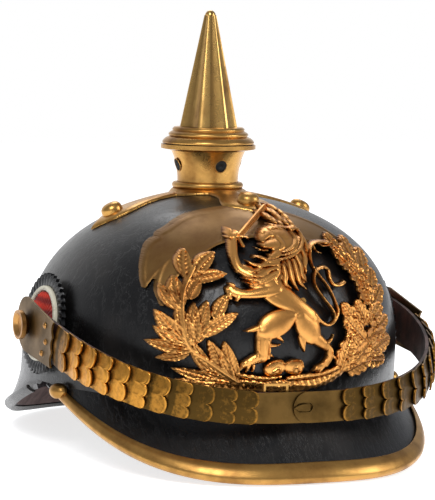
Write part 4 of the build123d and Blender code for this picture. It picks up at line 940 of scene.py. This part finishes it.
FACE = [
    ([(-0.8, 117, 6.3), (-5.2, 115.2, 5.3)], 3.9, 5),
    ([(0.5, 119.8, 3.6), (-4, 120.2, 2.8), (-8.2, 119.8, 2.1)], 4.2, 5.3),
    ([(-8, 119.8, 2), (-11.2, 118, 1.7), (-12.5, 116.5, 1.3)], 4.3, 5.5),
    ([(-5.8, 115.2, 2.4), (-10.8, 114.5, 1.9), (-13, 114.2, 1.2)], 4.2, 5.4),
    ([(-6.8, 110.8, 2), (-10.8, 109, 1.5), (-11.8, 109.8, 0.8)], 4, 5.1),
    ([(-11.5, 112, 0.5), (-14.5, 112, 0.5), (-17, 113.2, 0.3)], 4, 4.9),
    ([(-6, 121.8, 0.8), (-2.2, 122.5, 0.9), (0.8, 121.8, 0.7)], 4.7, 5.6),
    ([(-5.8, 119, 0.7), (-5.8, 118.8, 0.7)], 5, 5.6),
    ([(-3.5, 118, 1.6), (-2.8, 114.8, 1.5), (-5.2, 112.5, 0.9)], 4.5, 5.4),
    ([(6.5, 121.8, 1.5), (9.8, 121.8, 0.8), (11.2, 121.2, 0.3)], 4.4, 5.5),
    ([(-10.8, 120, 0.6), (-8.8, 121, 0.5)], 4.8, 5.6),
]
CROWN = [
    (-2.5, 128, 1.7), (2, 130, 1.7), (6.8, 130.8, 1.6), (-1.2, 127, 2), (4, 128.5, 2.1),
    (8.2, 129, 1.7), (0.2, 125.5, 2), (4.5, 126.5, 2.1), (8.8, 126.8, 1.9), (2.8, 124, 1.5),
    (6.2, 124.8, 1.9), (9, 124.2, 1.7)]
BAND = [
    (-3.2, 123.5, 0.7), (0.8, 122.8, 0.7), (4.8, 122.2, 0.7), (9.8, 123, 0.6)]
MANE_BED = [
    ([(-25, 99.5, 2.6), (-17, 101, 4.6), (-8, 102.5, 5), (0, 102, 4), (2, 99, 3)], 3.5, 4.2),
    ([(5, 119, 4.4), (7.5, 113.5, 3.6), (3, 108, 4.2), (-4, 107, 3.4)], 3.5, 4.2),
]
STONES = [
    ([(-17, 54.4, 3.5), (-13.4, 55.8, 4)], 3, 4.4), ([(-7.4, 55.8, 3.4), (-3.8, 55.4, 4)], 3, 4.4),
    ([(-19.6, 56.6, 0.5), (-16.4, 58.6, 0.6), (-12.4, 59.2, 0.6), (-10.4, 57, 0.5)], 4, 4.9),
    ([(-9.4, 58, 0.5), (-6, 59.2, 0.6), (-1.8, 58.6, 0.6), (-0.6, 55.4, 0.5)], 4, 4.9),
    ([(-16.6, 53.6, 0.5), (-13.6, 55.2, 0.6), (-12.2, 53, 0.5)], 4.2, 5),
    ([(-6.4, 53.6, 0.5), (-4.6, 55.8, 0.6), (-2.6, 53.4, 0.5)], 4.2, 5),
]
LAUREL_STEM = [
    (-33, 48, 1.8), (-45, 57, 1.6), (-54, 65, 1.5), (-56, 78, 1.3), (-54, 92, 1.2), (-47, 104, 1.0)]
LAUREL = [
    ((-53, 64), (-70.5, 67), 7), ((-53, 63), (-66.5, 58.5), 5.5), ((-54, 65), (-66, 82.5), 8.5),
    ((-55, 66), (-67.2, 74.5), 6), ((-53, 66), (-57, 86), 7), ((-52, 66), (-50.5, 87), 6.5),
    ((-50, 67), (-45, 88), 7), ((-49, 70), (-32, 82.5), 7), ((-43, 78), (-35.5, 91.5), 6),
    ((-56, 82), (-62.5, 95), 7), ((-56, 84), (-56, 99.5), 7.5), ((-53, 88), (-46, 98.5), 7),
    ((-51, 97), (-34, 101), 6.5), ((-52, 98), (-48, 112), 6.5), ((-48, 100), (-36, 111), 6),
    ((-33, 47.5), (-39, 68.5), 8), ((-34, 48), (-46, 69), 7.5), ((-35, 48), (-53, 62), 7),
    ((-36, 48), (-60.5, 54), 6.5), ((-38, 47.5), (-59, 48.7), 4), ((-44, 53), (-53.5, 69), 5.5),
]
OAK = [
    ((22, 52), (30, 71), 13), ((26, 52), (44, 57), 12), ((30, 56), (44, 66), 12),
    ((38, 56), (55, 55), 10), ((42, 60), (59.5, 66), 12), ((40, 66), (58, 77), 12),
    ((38, 66), (24, 79), 12), ((36, 72), (23, 86), 11), ((40, 74), (33, 87), 11),
    ((42, 74), (53, 84), 12), ((43, 80), (57, 92), 11), ((44, 84), (39, 99), 12),
    ((46, 88), (52, 101), 11), ((44, 94), (33, 105), 12), ((43, 98), (49, 111), 11),
    ((38, 102), (27, 112), 11), ((38, 104), (40, 117), 10), ((32, 106), (28, 119), 9),
    ((45, 68), (56, 70), 9), ((34, 58), (24, 62), 8),
]


def crest_layers(u, v):
    """All layers of the front plate: outside distances and lifts, in millimetres."""
    layers = []
    for spec in LAUREL:
        layers.append(leaf_layer(u, v, *spec, 2.5, 4.2, bend=0.8))
    layers.append(chain_layer(u, v, LAUREL_STEM, 2.6, 4.3))
    for spec in OAK:
        layers.append(leaf_layer(u, v, *spec, 2.5, 4.3, lobes=4, bend=0.6))
    strips = [
        ([(-40, 47, 3.0), (-20, 46.5, 3.2), (0, 46.2, 3.0), (14, 48.5, 2.6), (22, 52, 2.2)], 2.3, 3.6),
        ([(-33, 52, 1.0), (-26, 50.6, 1.6), (-18, 50, 1.2), (-12, 51, 0.8)], 2.8, 4.4),
        ([(-30, 48.5, 1.2), (-22, 47.5, 1.5), (-12, 45.5, 1.5)], 2.8, 4.2),
        ([(-8, 49.8, 1.4), (0, 50.6, 1.6), (10, 51.4, 1.5), (20, 54, 1.4)], 2.8, 4.2),
        ([(-4, 46.4, 1.6), (6, 46, 1.6), (14, 48.4, 1.3)], 2.8, 4.2)]
    for stations, low, top in strips:
        out, lift = chain_layer(u, v, stations, low, top)
        layers.append((out + 0.25 * np.sin(u * 1.3), lift + 0.2 * np.sin(u * 1.9 + 0.6 * v)))
    for stations, low, top in STONES + LIMBS + MANE_BED + FACE:
        layers.append(chain_layer(u, v, stations, low, top))
    for table, low, top in ((TAILS, 3.0, 4.7), (FUR, 4.5, 5.3), (MANE, 3.9, 5.4), (HILT, 4.2, 5.5),
                            ([BAND], 4.4, 5.5)):
        for stations in table:
            layers.append(chain_layer(u, v, stations, low, top))
    for x, z, r in CROWN:
        far = np.hypot(u - x, v - z)
        petal = 0.22 * np.cos(5 * np.arctan2(v - z, u - x)) * np.clip(far / r, 0, 1)
        layers.append((far - r, 4.0 + 1.4 * np.sqrt(np.clip(1 - (far / r) ** 2, 0, 1)) + petal))
    return layers


def sword_shell():
    """Straight blade, flat behind, ridged in front: its section shrinks from hilt to point."""
    stations = ((-22.8, 118.2, 5.2), (2.4, 132.4, 6.2))
    ends = [front_point(x * MM, z * MM, lift * MM) for x, z, lift in stations]
    along = ends[1] - ends[0]
    out = front_point(-10 * MM, 125.5 * MM, 9 * MM) - front_point(-10 * MM, 125.5 * MM, 0)
    width = np.cross(out, along)
    width /= np.linalg.norm(width)
    out = np.cross(along, width)
    out /= np.linalg.norm(out)
    side = np.array([-1.7, -1.7, -1.3, -0.9, -0.3, 0, 0.3, 0.9, 1.3, 1.7, 1.7]) * MM
    rise = np.array([-0.4, 0.2, 0.75, 0.2, 0.2, 0.6, 0.2, 0.2, 0.75, 0.2, -0.4]) * MM
    place = np.array([0, 0.3, 0.6, 0.86, 0.93, 0.98, 1])
    size = np.array([1, 1, 1, 0.95, 0.8, 0.45, 0.06])
    rows = (ends[0] + place[:, None] * along)[:, None]
    return loop_shell(rows + size[:, None, None] * side[:, None] * width + rise[:, None] * out, False)


def soften(values, passes):
    """Average of each point with its four neighbours, repeated."""
    for _ in range(passes):
        padded = np.pad(values, 1, mode="edge")
        values = (padded[1:-1, 1:-1] * 2 + padded[2:, 1:-1] + padded[:-2, 1:-1]
                  + padded[1:-1, 2:] + padded[1:-1, :-2]) / 6
    return values


class HELMET_OT_front_plate(bpy.types.Operator):
    """Gilt plate: a rampant lion between laurel and oak"""
    bl_idname = "helmet.front_plate"
    bl_label = "Front plate"

    def execute(self, context):
        c = colours()
        # The height at a place is the highest layer there, held down near each layer's own edge
        u, v = np.meshgrid(np.arange(-72, 61, 0.42), np.arange(42, 134.4, 0.42), indexing="ij")
        outside = np.full(u.shape, 50.0)
        lift = np.full(u.shape, 2.2)
        for out, height in crest_layers(u, v):
            fade = np.clip((out + 0.7) / 0.9, 0, 1)
            height = height - 0.9 * fade ** 2
            inside = (out < 0.35) & (height > lift)
            lift = np.where(inside, height, lift)
            outside = np.minimum(outside, out)
        lift = np.interp(lift, (2.4, 5.6), (2.75, 5.7))
        # Painted shade: hollows below the softened relief are darkened, and the back and skirt are dark
        # throughout as the shadow under the relief's edges
        hollow_shade = np.clip((soften(lift, 8) - lift) * 2.4 + 0.12, 0, 1)
        back = np.full(u.shape, 2.3)
        shell, used = relief_shell(u * MM, v * MM, outside * MM, lift * MM, back * MM, front_point)
        gilt = aged_brass("fire_gilt_brass", c.gilt, c.gilt_dark, 0.24, 0.6, recess_shade=True)
        blade = sword_shell()
        recess_shade = np.concatenate([hollow_shade.ravel()[used], np.ones(len(used)), np.zeros(len(blade[0]))])
        make_piece("lion_plate", [shell, blade], "helmet", gilt, ["front_emblem"],
                   {"recess_shade": recess_shade}, sharp=50)
        return {"FINISHED"}


class HELMET_OT_ribbon(bpy.types.Operator):
    """Bare brass ribbon in an arch over the lion"""
    bl_idname = "helmet.ribbon"
    bl_label = "Ribbon"

    def execute(self, context):
        c = colours()
        # The outline is three tapered runs joined, less the cross, with a thin raised edge
        u, v = np.meshgrid(np.arange(-70, 56, 0.5), np.arange(82, 134, 0.5), indexing="ij")
        runs = [
            [(-48, 112.5, 6.8), (-30, 121, 6.5), (0, 124.5, 6.5), (23.5, 118.8, 6), (38, 110.8, 4.4),
             (50, 100, 3.4)],
            [(-46, 113, 6), (-55, 110, 4.6), (-61.3, 103.5, 3.3), (-65.2, 97, 1.8), (-67, 92.3, 0.5)],
            [(-49, 108, 4), (-56.5, 100, 3.4), (-61.3, 92, 2.1), (-62, 84.5, 0.7)]]
        outside = np.full(u.shape, 50.0)
        for stations in runs:
            outside = np.minimum(outside, chain_layer(u, v, stations, 0, 1)[0])
        surface = front_point(u * MM, v * MM, 1 * MM)
        crossing = cross_outside(surface[..., 0], surface[..., 1]) / MM
        outside = np.maximum(outside, 0.4 - crossing)
        edge = np.exp(-((outside + 0.8) / 0.4) ** 2)
        lift = 1.55 + 0.3 * edge
        shell, _ = relief_shell(u * MM, v * MM, outside * MM, lift * MM,
                                np.full(u.shape, 0.3) * MM, front_point)
        brass = aged_brass("plain_sheet_brass", c.ribbon, c.brass_dark, 0.36, 0.8)
        make_piece("ribbon", [shell], "helmet", brass, ["banner_scroll"], sharp=60)
        return {"FINISHED"}


# Cockades

class HELMET_OT_cockades(bpy.types.Operator):
    """Pleated black rim, cream ring and red centre on each side"""
    bl_idname = "helmet.cockades"
    bl_label = "Cockades"

    def execute(self, context):
        s, c = sizes(), colours()
        black = enamel("black_lacquered_pleats", linear("#121213"), linear("#2B2A2C"), 0.28)
        cream = enamel("cream_enamel", c.white, linear("#A79C80"), 0.35)
        red = ribbed_cloth("red_ribbed_cloth", c.red, linear("#8E1710"), 0.9)
        # The pleats are a saw tooth of the turn on the outer edge and a sine ridge between, the ring a
        # profile turned round, and the centre a disc ribbed by the sine of its turn
        teeth, ribs = 40, 36
        for side, word in ((-1, "right"), (1, "left")):
            origin, ahead, across, normal = side_plane(side)

            def place(radius, turn, lift):
                """Polar place on the cockade's plane."""
                return (origin + ahead * (radius * np.cos(turn))[..., None]
                        + across * (radius * np.sin(turn))[..., None] + normal * lift[..., None])

            turn = np.linspace(0, FULL_TURN, teeth * 14, endpoint=False)[:, None]
            inner = s.ring_radius + 0.15 * MM
            share = np.array([0, 0, 0.12, 0.35, 0.6, 0.85, 1.0, 1.0, 0.5])[None, :]
            phase = (turn * teeth / FULL_TURN + 0.55 * share) % 1
            outline = s.pleat_radius - s.pleat_depth * phase ** 1.4
            radius = inner + (outline - inner) * share
            crest = np.sin(math.pi * phase) ** 0.8 * (0.3 + 0.7 * share)
            lift = (2.2 + 1.2 * crest * np.sin(math.pi * np.clip(0.1 + 0.8 * share, 0, 1))) * MM
            lift[:, [0, 7, 8]] = 0.3 * MM
            make_piece(word + "_pleats", [loop_shell(place(radius, turn, lift), True)], "helmet",
                       black, [word + "_cockade_rim"], sharp=35)
            around = np.linspace(0, FULL_TURN, 128, endpoint=False)[:, None]
            ring = smooth_line([(16.95, 0.3), (16.95, 2.9), (17.4, 3.9), (18.4, 4.2), (19.3, 3.8),
                                (19.7, 2.9), (19.7, 0.3)], 4) * MM
            radius = np.broadcast_to(ring[:, 0], (128, len(ring)))
            lift = np.broadcast_to(ring[:, 1], (128, len(ring)))
            make_piece(word + "_cream_ring", [loop_shell(place(radius, around, lift), True)], "helmet",
                       cream, [word + "_cockade_ring"], sharp=50)
            turn = np.linspace(0, FULL_TURN, ribs * 8, endpoint=False)[:, None]
            line = np.array([4.4, 4.4, 6, 8, 10, 12, 14, 15.6, 16.6, 16.6, 10])[None, :] * MM
            rib = 0.35 * MM * np.sin(ribs * turn) * np.clip(line / s.centre_radius, 0, 1)
            lift = 3.3 * MM + rib - 0.4 * MM * (line / s.centre_radius) ** 4
            lift[:, [0, 9, 10]] = 0.3 * MM
            make_piece(word + "_red_centre", [loop_shell(place(line + 0 * turn, turn, lift), True)],
                       "helmet", red, [word + "_cockade_centre"], sharp=60)
        return {"FINISHED"}


# Chin scales

def strap_line(side):
    """Runs and points along the strap's outer leather face: a superellipse in plan that falls by a
    power of its way forward."""
    turn = np.linspace(0, math.pi / 2, 241)
    across, ahead = np.cos(turn), np.sin(turn)
    size = (across ** STRAP_POWER + ahead ** STRAP_POWER) ** (-1 / STRAP_POWER)
    forward = ahead * size
    height = STRAP_FRONT_Z + STRAP_FALL * (1 - np.minimum(forward, 1) ** STRAP_FALL_POWER)
    points = np.stack([side * STRAP_HALF_WIDTH * across * size,
                       SIDE_Y / MM - STRAP_REACH * forward, height], -1) * MM
    runs = np.concatenate([[0], np.cumsum(np.linalg.norm(np.diff(points, axis=0), axis=1))])
    return runs, points


def strap_frame(side, start, end):
    """Origin at one run of the strap and its axes towards another: along, width and outward."""
    runs, points = strap_line(side)
    first, second = (
        np.array([np.interp(r, runs, points[:, k]) for k in range(3)]) for r in (start, end))
    along = (second - first) / np.linalg.norm(second - first)
    width = np.array((0, 0, 1)) - along * along[2]
    width /= np.linalg.norm(width)
    return first, along, width, np.cross(along, width) * -side


class HELMET_OT_scales(bpy.types.Operator):
    """Eleven lobed brass scales on each strap"""
    bl_idname = "helmet.scales"
    bl_label = "Chin scales"

    def execute(self, context):
        s, c = sizes(), colours()
        # A scale ends in half-ellipse lobes. Its lift adds an arch across, a tilt along, a bead at the
        # edge and a swell behind it.
        # Its tarnish grows to the front, painted shadow darkens the gap behind each edge and a painted
        # highlight lightens each lobe's edge.
        look = tarnished_scales("stamped_scale_brass", c.scale_bright, c.scale_dark)
        for side, word, pitch in ((-1, "right", 10.8), (1, "left", 11.8)):
            shells, tarnish_and_light_rows = [], []
            total = strap_line(side)[0][-1]
            for index in range(SCALE_COUNT):
                end = (SCALES_START + pitch * index) * MM
                size = (pitch + SCALE_OVERLAP) * MM
                start = end - size
                width = (23 + (15.5 - 23) * min(end / total, 1)) * MM
                lobes = 2 if index % 2 == 0 else 3
                lobe = width / lobes
                depth = lobe * 0.36
                t = np.concatenate([np.linspace(0, 0.7, 8), np.linspace(0.74, 1, 12)])[:, None]
                y = np.linspace(-width / 2, width / 2, lobes * 16 + 1)[None, :]
                place_in = ((y + width / 2) % lobe) / lobe * 2 - 1
                reach = size - depth + depth * np.sqrt(np.clip(1 - place_in ** 2, 0, 1))
                x = t * reach
                arch = np.sqrt(SCALE_ARCH_RADIUS ** 2 - y ** 2) - SCALE_ARCH_RADIUS
                drop = SCALE_ARCH_RADIUS - math.sqrt(SCALE_ARCH_RADIUS ** 2 - width ** 2 / 4)
                tilt = 1.35 * x / pitch
                edge = reach - x
                bead = 0.3 * MM * np.exp(-((edge - 0.5 * MM) / (0.5 * MM)) ** 2)
                swell = 0.35 * MM * np.exp(-((edge - 3.2 * MM) / (2.2 * MM)) ** 2)
                z = 0.3 * MM + drop + arch + tilt + bead + swell
                first, along, across, outward = strap_frame(side, start, end)
                base = (first + along * x[..., None] + across * y[..., None])
                top = base + outward * (z + s.scale_wall)[..., None]
                bottom = base + outward * (z - bead)[..., None]
                shells.append(slab_shell(top, bottom))
                share = min(max((index - (4.6 if side < 0 else -2)) / 3.4, 0), 1)
                if index == 0:
                    share = 0.6
                # Painted highlight on each lobe's edge, and painted shadow in the gap beyond the
                # previous scale's edge
                edge_highlight = 0.4 * np.exp(-((edge - 0.4 * MM) / (0.7 * MM)) ** 2)
                shade = 0.55 * np.exp(-((x - 5.4 * MM) / (1.5 * MM)) ** 2)
                tarnish_and_light_rows.append(np.tile((share * 0.8 + 0.1 + shade - edge_highlight).ravel(), 2))
            nodes = ["%s_scales_%d" % (word, k) for k in range(1, 7)]
            make_piece(word + "_scale_row", shells, word + "_chin_scales", look, nodes,
                       {"age": np.concatenate(tarnish_and_light_rows)}, sharp=45)
        return {"FINISHED"}


# Linings and carried pieces

class HELMET_OT_linings(bpy.types.Operator):
    """Sweatband and gathered silk"""
    bl_idname = "helmet.linings"
    bl_label = "Linings"

    def execute(self, context):
        s, c = sizes(), colours()
        # The sweatband leans in with its height and waves along its upper edge. The silk is the lifted
        # skull with folds by the sine of fifteen times the turn.
        turn = np.linspace(0, FULL_TURN, 220, endpoint=False)[:, None]
        stretch = s.skull_half_length / s.skull_half_width
        rise = np.linspace(0, 1, 14)
        wave = 0.35 * MM * np.sin(22 * turn)

        def band(offset, order):
            """Points of one face of the sweatband."""
            t = order[None, :]
            radius = SWEATBAND_RADIUS - SWEATBAND_LEAN * t - offset + wave * t ** 2
            height = SWEATBAND_FOOT + SWEATBAND_HEIGHT * t + 0 * turn
            y = radius * np.sin(turn) * stretch - s.skull_lean * height / s.skull_rise - s.skull_forward
            return joined(radius * np.cos(turn), y, height + s.skull_rim)

        points = np.concatenate([band(0.4 * MM, rise), band(1.6 * MM, rise[::-1])], 1)
        tan = plain_leather("tanned_sweatband_leather", c.tan, linear("#4E3320"))
        make_piece("sweatband_leather", [loop_shell(points, True)], "helmet", tan,
                   ["sweatband"], sharp=50)
        turn = np.linspace(0, FULL_TURN, 360, endpoint=False)[:, None]
        foot = math.asin(SILK_FOOT ** (s.skull_fullness / 2))
        rise = np.linspace(foot, math.acos(SILK_OPENING), 44)
        fold = (np.abs(np.sin(15 * turn)) - 0.5) * 1.3 * MM * np.linspace(0.25, 1, 44)[None, :]
        outer = dome_point(turn, rise[None, :], -10.6 * MM + fold * 0.6)
        inner = dome_point(turn, rise[None, :], -11.1 * MM + fold * 0.6)[:, ::-1]
        silk = ribbed_cloth("faded_ribbed_silk", c.silk, linear("#5F5A4E"), 1.0)
        cap = make_piece("silk_cap", [loop_shell(np.concatenate([outer, inner], 1), True)], "helmet",
                         silk, ["silk_lining"], sharp=60)
        return {"FINISHED"}


class HELMET_OT_fittings(bpy.types.Operator):
    """Finishes of the pieces carried over from the frame"""
    bl_idname = "helmet.fittings"
    bl_label = "Fittings"

    def execute(self, context):
        c = colours()
        looks = {
            "aged_brass": aged_brass("aged_turned_brass", c.brass, c.brass_dark),
            "scale_brass": aged_brass(
                "tarnished_plate_brass", linear("#69502A"), linear("#382911"), 0.36),
            "brown_leather": plain_leather("brown_strap_leather", c.strap, linear("#1D100C")),
            "lining_leather": plain_leather(
                "dyed_lining_leather", linear("#5A2A20"), linear("#3A1913")),
            "flat_brass": aged_brass("flat_brass", c.ribbon, c.brass_dark),
            "near_black": aged_brass("near_black_inner_brass", linear("#1C140C"), linear("#0A0705"), 0.55),
        }
        slots = {row["node"]: row["material_slot"] for row in frame["record"]["subparts"]}
        for name, node in frame["nodes"].items():
            if node.hide_render or name == "spike_neck":
                continue
            node.data.materials.clear()
            node.data.materials.append(looks[slots[name]])
            # The socket and tang inside the neck are given near-black brass
            if name in ("spike_socket", "spike_tang"):
                node.data.materials[0] = looks["near_black"]
            elif name.endswith(("rosette_post", "plate_rivets")):
                node.data.materials[0] = aged_brass(
                    "rubbed_" + name, linear("#B98A50"), c.brass_dark, 0.24)
        return {"FINISHED"}


# Stage

class HELMET_OT_stage(bpy.types.Operator):
    """Pale floor, soft lamps and the camera"""
    bl_idname = "helmet.stage"
    bl_label = "Stage"

    def execute(self, context):
        c = colours()
        scene = context.scene
        mesh = bpy.data.meshes.new("floor")
        half = 3.0
        mesh.from_pydata([(-half, -half, -0.0004), (half, -half, -0.0004),
                          (half, half, -0.0004), (-half, half, -0.0004)], [], [(0, 1, 2, 3)])
        floor = bpy.data.objects.new("floor", mesh)
        scene.collection.objects.link(floor)
        material, tree, shader, _ = begin("pale_studio_floor")
        feed(tree, shader, {"Base Color": c.floor, "Roughness": 0.9, "Specular IOR Level": 0.0})
        glow = add(tree, "Emission", {"Color": c.floor, "Strength": 0.75})
        bright = add(tree, "AddShader", {0: shader.outputs[0], 1: glow.outputs[0]})
        path = add(tree, "LightPath")
        seen = maths(tree, "MAXIMUM", path.outputs["Is Camera Ray"], path.outputs["Is Glossy Ray"])
        shown = add(tree, "MixShader", {0: seen, 1: shader.outputs[0], 2: bright.outputs[0]})
        tree.links.new(shown.outputs[0], tree.nodes["Material Output"].inputs["Surface"])
        mesh.materials.append(material)
        lamps = [
            ("key_lamp", (-0.9, -1.2, 1.5), 0.9, 22.0), ("fill_lamp", (1.4, -0.9, 0.8), 0.8, 9.0),
            ("back_lamp", (0.5, 1.3, 1.6), 0.9, 8.0)]
        for name, spot, size, power in lamps:
            light = bpy.data.lights.new(name, "AREA")
            light.size, light.energy = size, power
            lamp = bpy.data.objects.new(name, light)
            lamp.location = spot
            aim = Vector((0, 0, 0.1)) - Vector(spot)
            lamp.rotation_euler = aim.to_track_quat("-Z", "Y").to_euler()
            scene.collection.objects.link(lamp)
        world = bpy.data.worlds.new("studio")
        scene.world = world
        world.use_nodes = True
        tree = world.node_tree
        path = add(tree, "LightPath")
        way = add(tree, "SeparateXYZ", {0: add(tree, "TexCoord").outputs["Generated"]}).outputs["Y"]
        behind = ranged(tree, way, 0.5, 0.95)
        eye, glossy, through = (
            path.outputs["Is %s Ray" % kind] for kind in ("Camera", "Glossy", "Transmission"))
        mirrored = maths(tree, "MULTIPLY", glossy, behind)
        seen = maths(tree, "MAXIMUM", maths(tree, "MAXIMUM", eye, through), mirrored)
        sky = add(tree, "Background", {"Color": (0.9, 0.93, 1.0, 1), "Strength": 0.38})
        white = add(tree, "Background", {"Color": (1, 1, 1, 1), "Strength": 1.0})
        shown = add(tree, "MixShader", {0: seen, 1: sky.outputs[0], 2: white.outputs[0]})
        tree.links.new(shown.outputs[0], tree.nodes["World Output"].inputs["Surface"])
        turn, rise, roll = (math.radians(angle) for angle in (VIEW_TURN, VIEW_RISE, VIEW_ROLL))
        level = math.cos(rise)
        back = Vector((-math.sin(turn) * level, -math.cos(turn) * level, math.sin(rise)))
        right = Vector((math.cos(turn), -math.sin(turn), 0))
        up = back.cross(right)
        right = right * math.cos(roll) + up * math.sin(roll)
        up = back.cross(right)
        aim = Vector((0, 0, VIEW_HEIGHT)) + right * VIEW_RIGHT - up * VIEW_DOWN
        data = bpy.data.cameras.new("camera")
        data.lens, data.sensor_width = VIEW_LENS, VIEW_FILM
        data.dof.use_dof = False
        data.clip_start, data.clip_end = 0.05, 20.0
        camera = bpy.data.objects.new("camera", data)
        axes = Matrix((right, up, back)).transposed().to_4x4()
        camera.matrix_world = Matrix.Translation(aim + back * VIEW_DISTANCE) @ axes
        scene.collection.objects.link(camera)
        scene.camera = camera
        scene.view_settings.view_transform = "Standard"
        return {"FINISHED"}


OPERATORS = (
    HELMET_OT_stage, HELMET_OT_skull, HELMET_OT_peaks, HELMET_OT_edging, HELMET_OT_cross,
    HELMET_OT_spike, HELMET_OT_front_plate, HELMET_OT_ribbon, HELMET_OT_cockades, HELMET_OT_scales,
    HELMET_OT_linings, HELMET_OT_fittings,
)


class HELMET_PT_pieces(bpy.types.Panel):
    """Lists the helmet's pieces"""
    bl_label = "Helmet"
    bl_idname = "HELMET_PT_pieces"
    bl_space_type = "VIEW_3D"
    bl_region_type = "UI"
    bl_category = "Helmet"

    def draw(self, context):
        for operator in OPERATORS:
            self.layout.operator(operator.bl_idname)
        for group in (context.scene.helmet_sizes, context.scene.helmet_colours):
            for key in group.__annotations__:
                self.layout.prop(group, key)


CLASSES = (HelmetSizes, HelmetColours) + OPERATORS + (HELMET_PT_pieces,)


def register():
    """Make the classes and the two groups of settings known."""
    for item in CLASSES:
        bpy.utils.register_class(item)
    bpy.types.Scene.helmet_sizes = bpy.props.PointerProperty(type=HelmetSizes)
    bpy.types.Scene.helmet_colours = bpy.props.PointerProperty(type=HelmetColours)


def unregister():
    """Undo register."""
    del bpy.types.Scene.helmet_sizes
    del bpy.types.Scene.helmet_colours
    for item in reversed(CLASSES):
        bpy.utils.unregister_class(item)


def main():
    """Build every piece."""
    register()
    for operator in OPERATORS:
        group, name = operator.bl_idname.split(".")
        getattr(getattr(bpy.ops, group), name)()


if __name__ == "__main__":
    main()
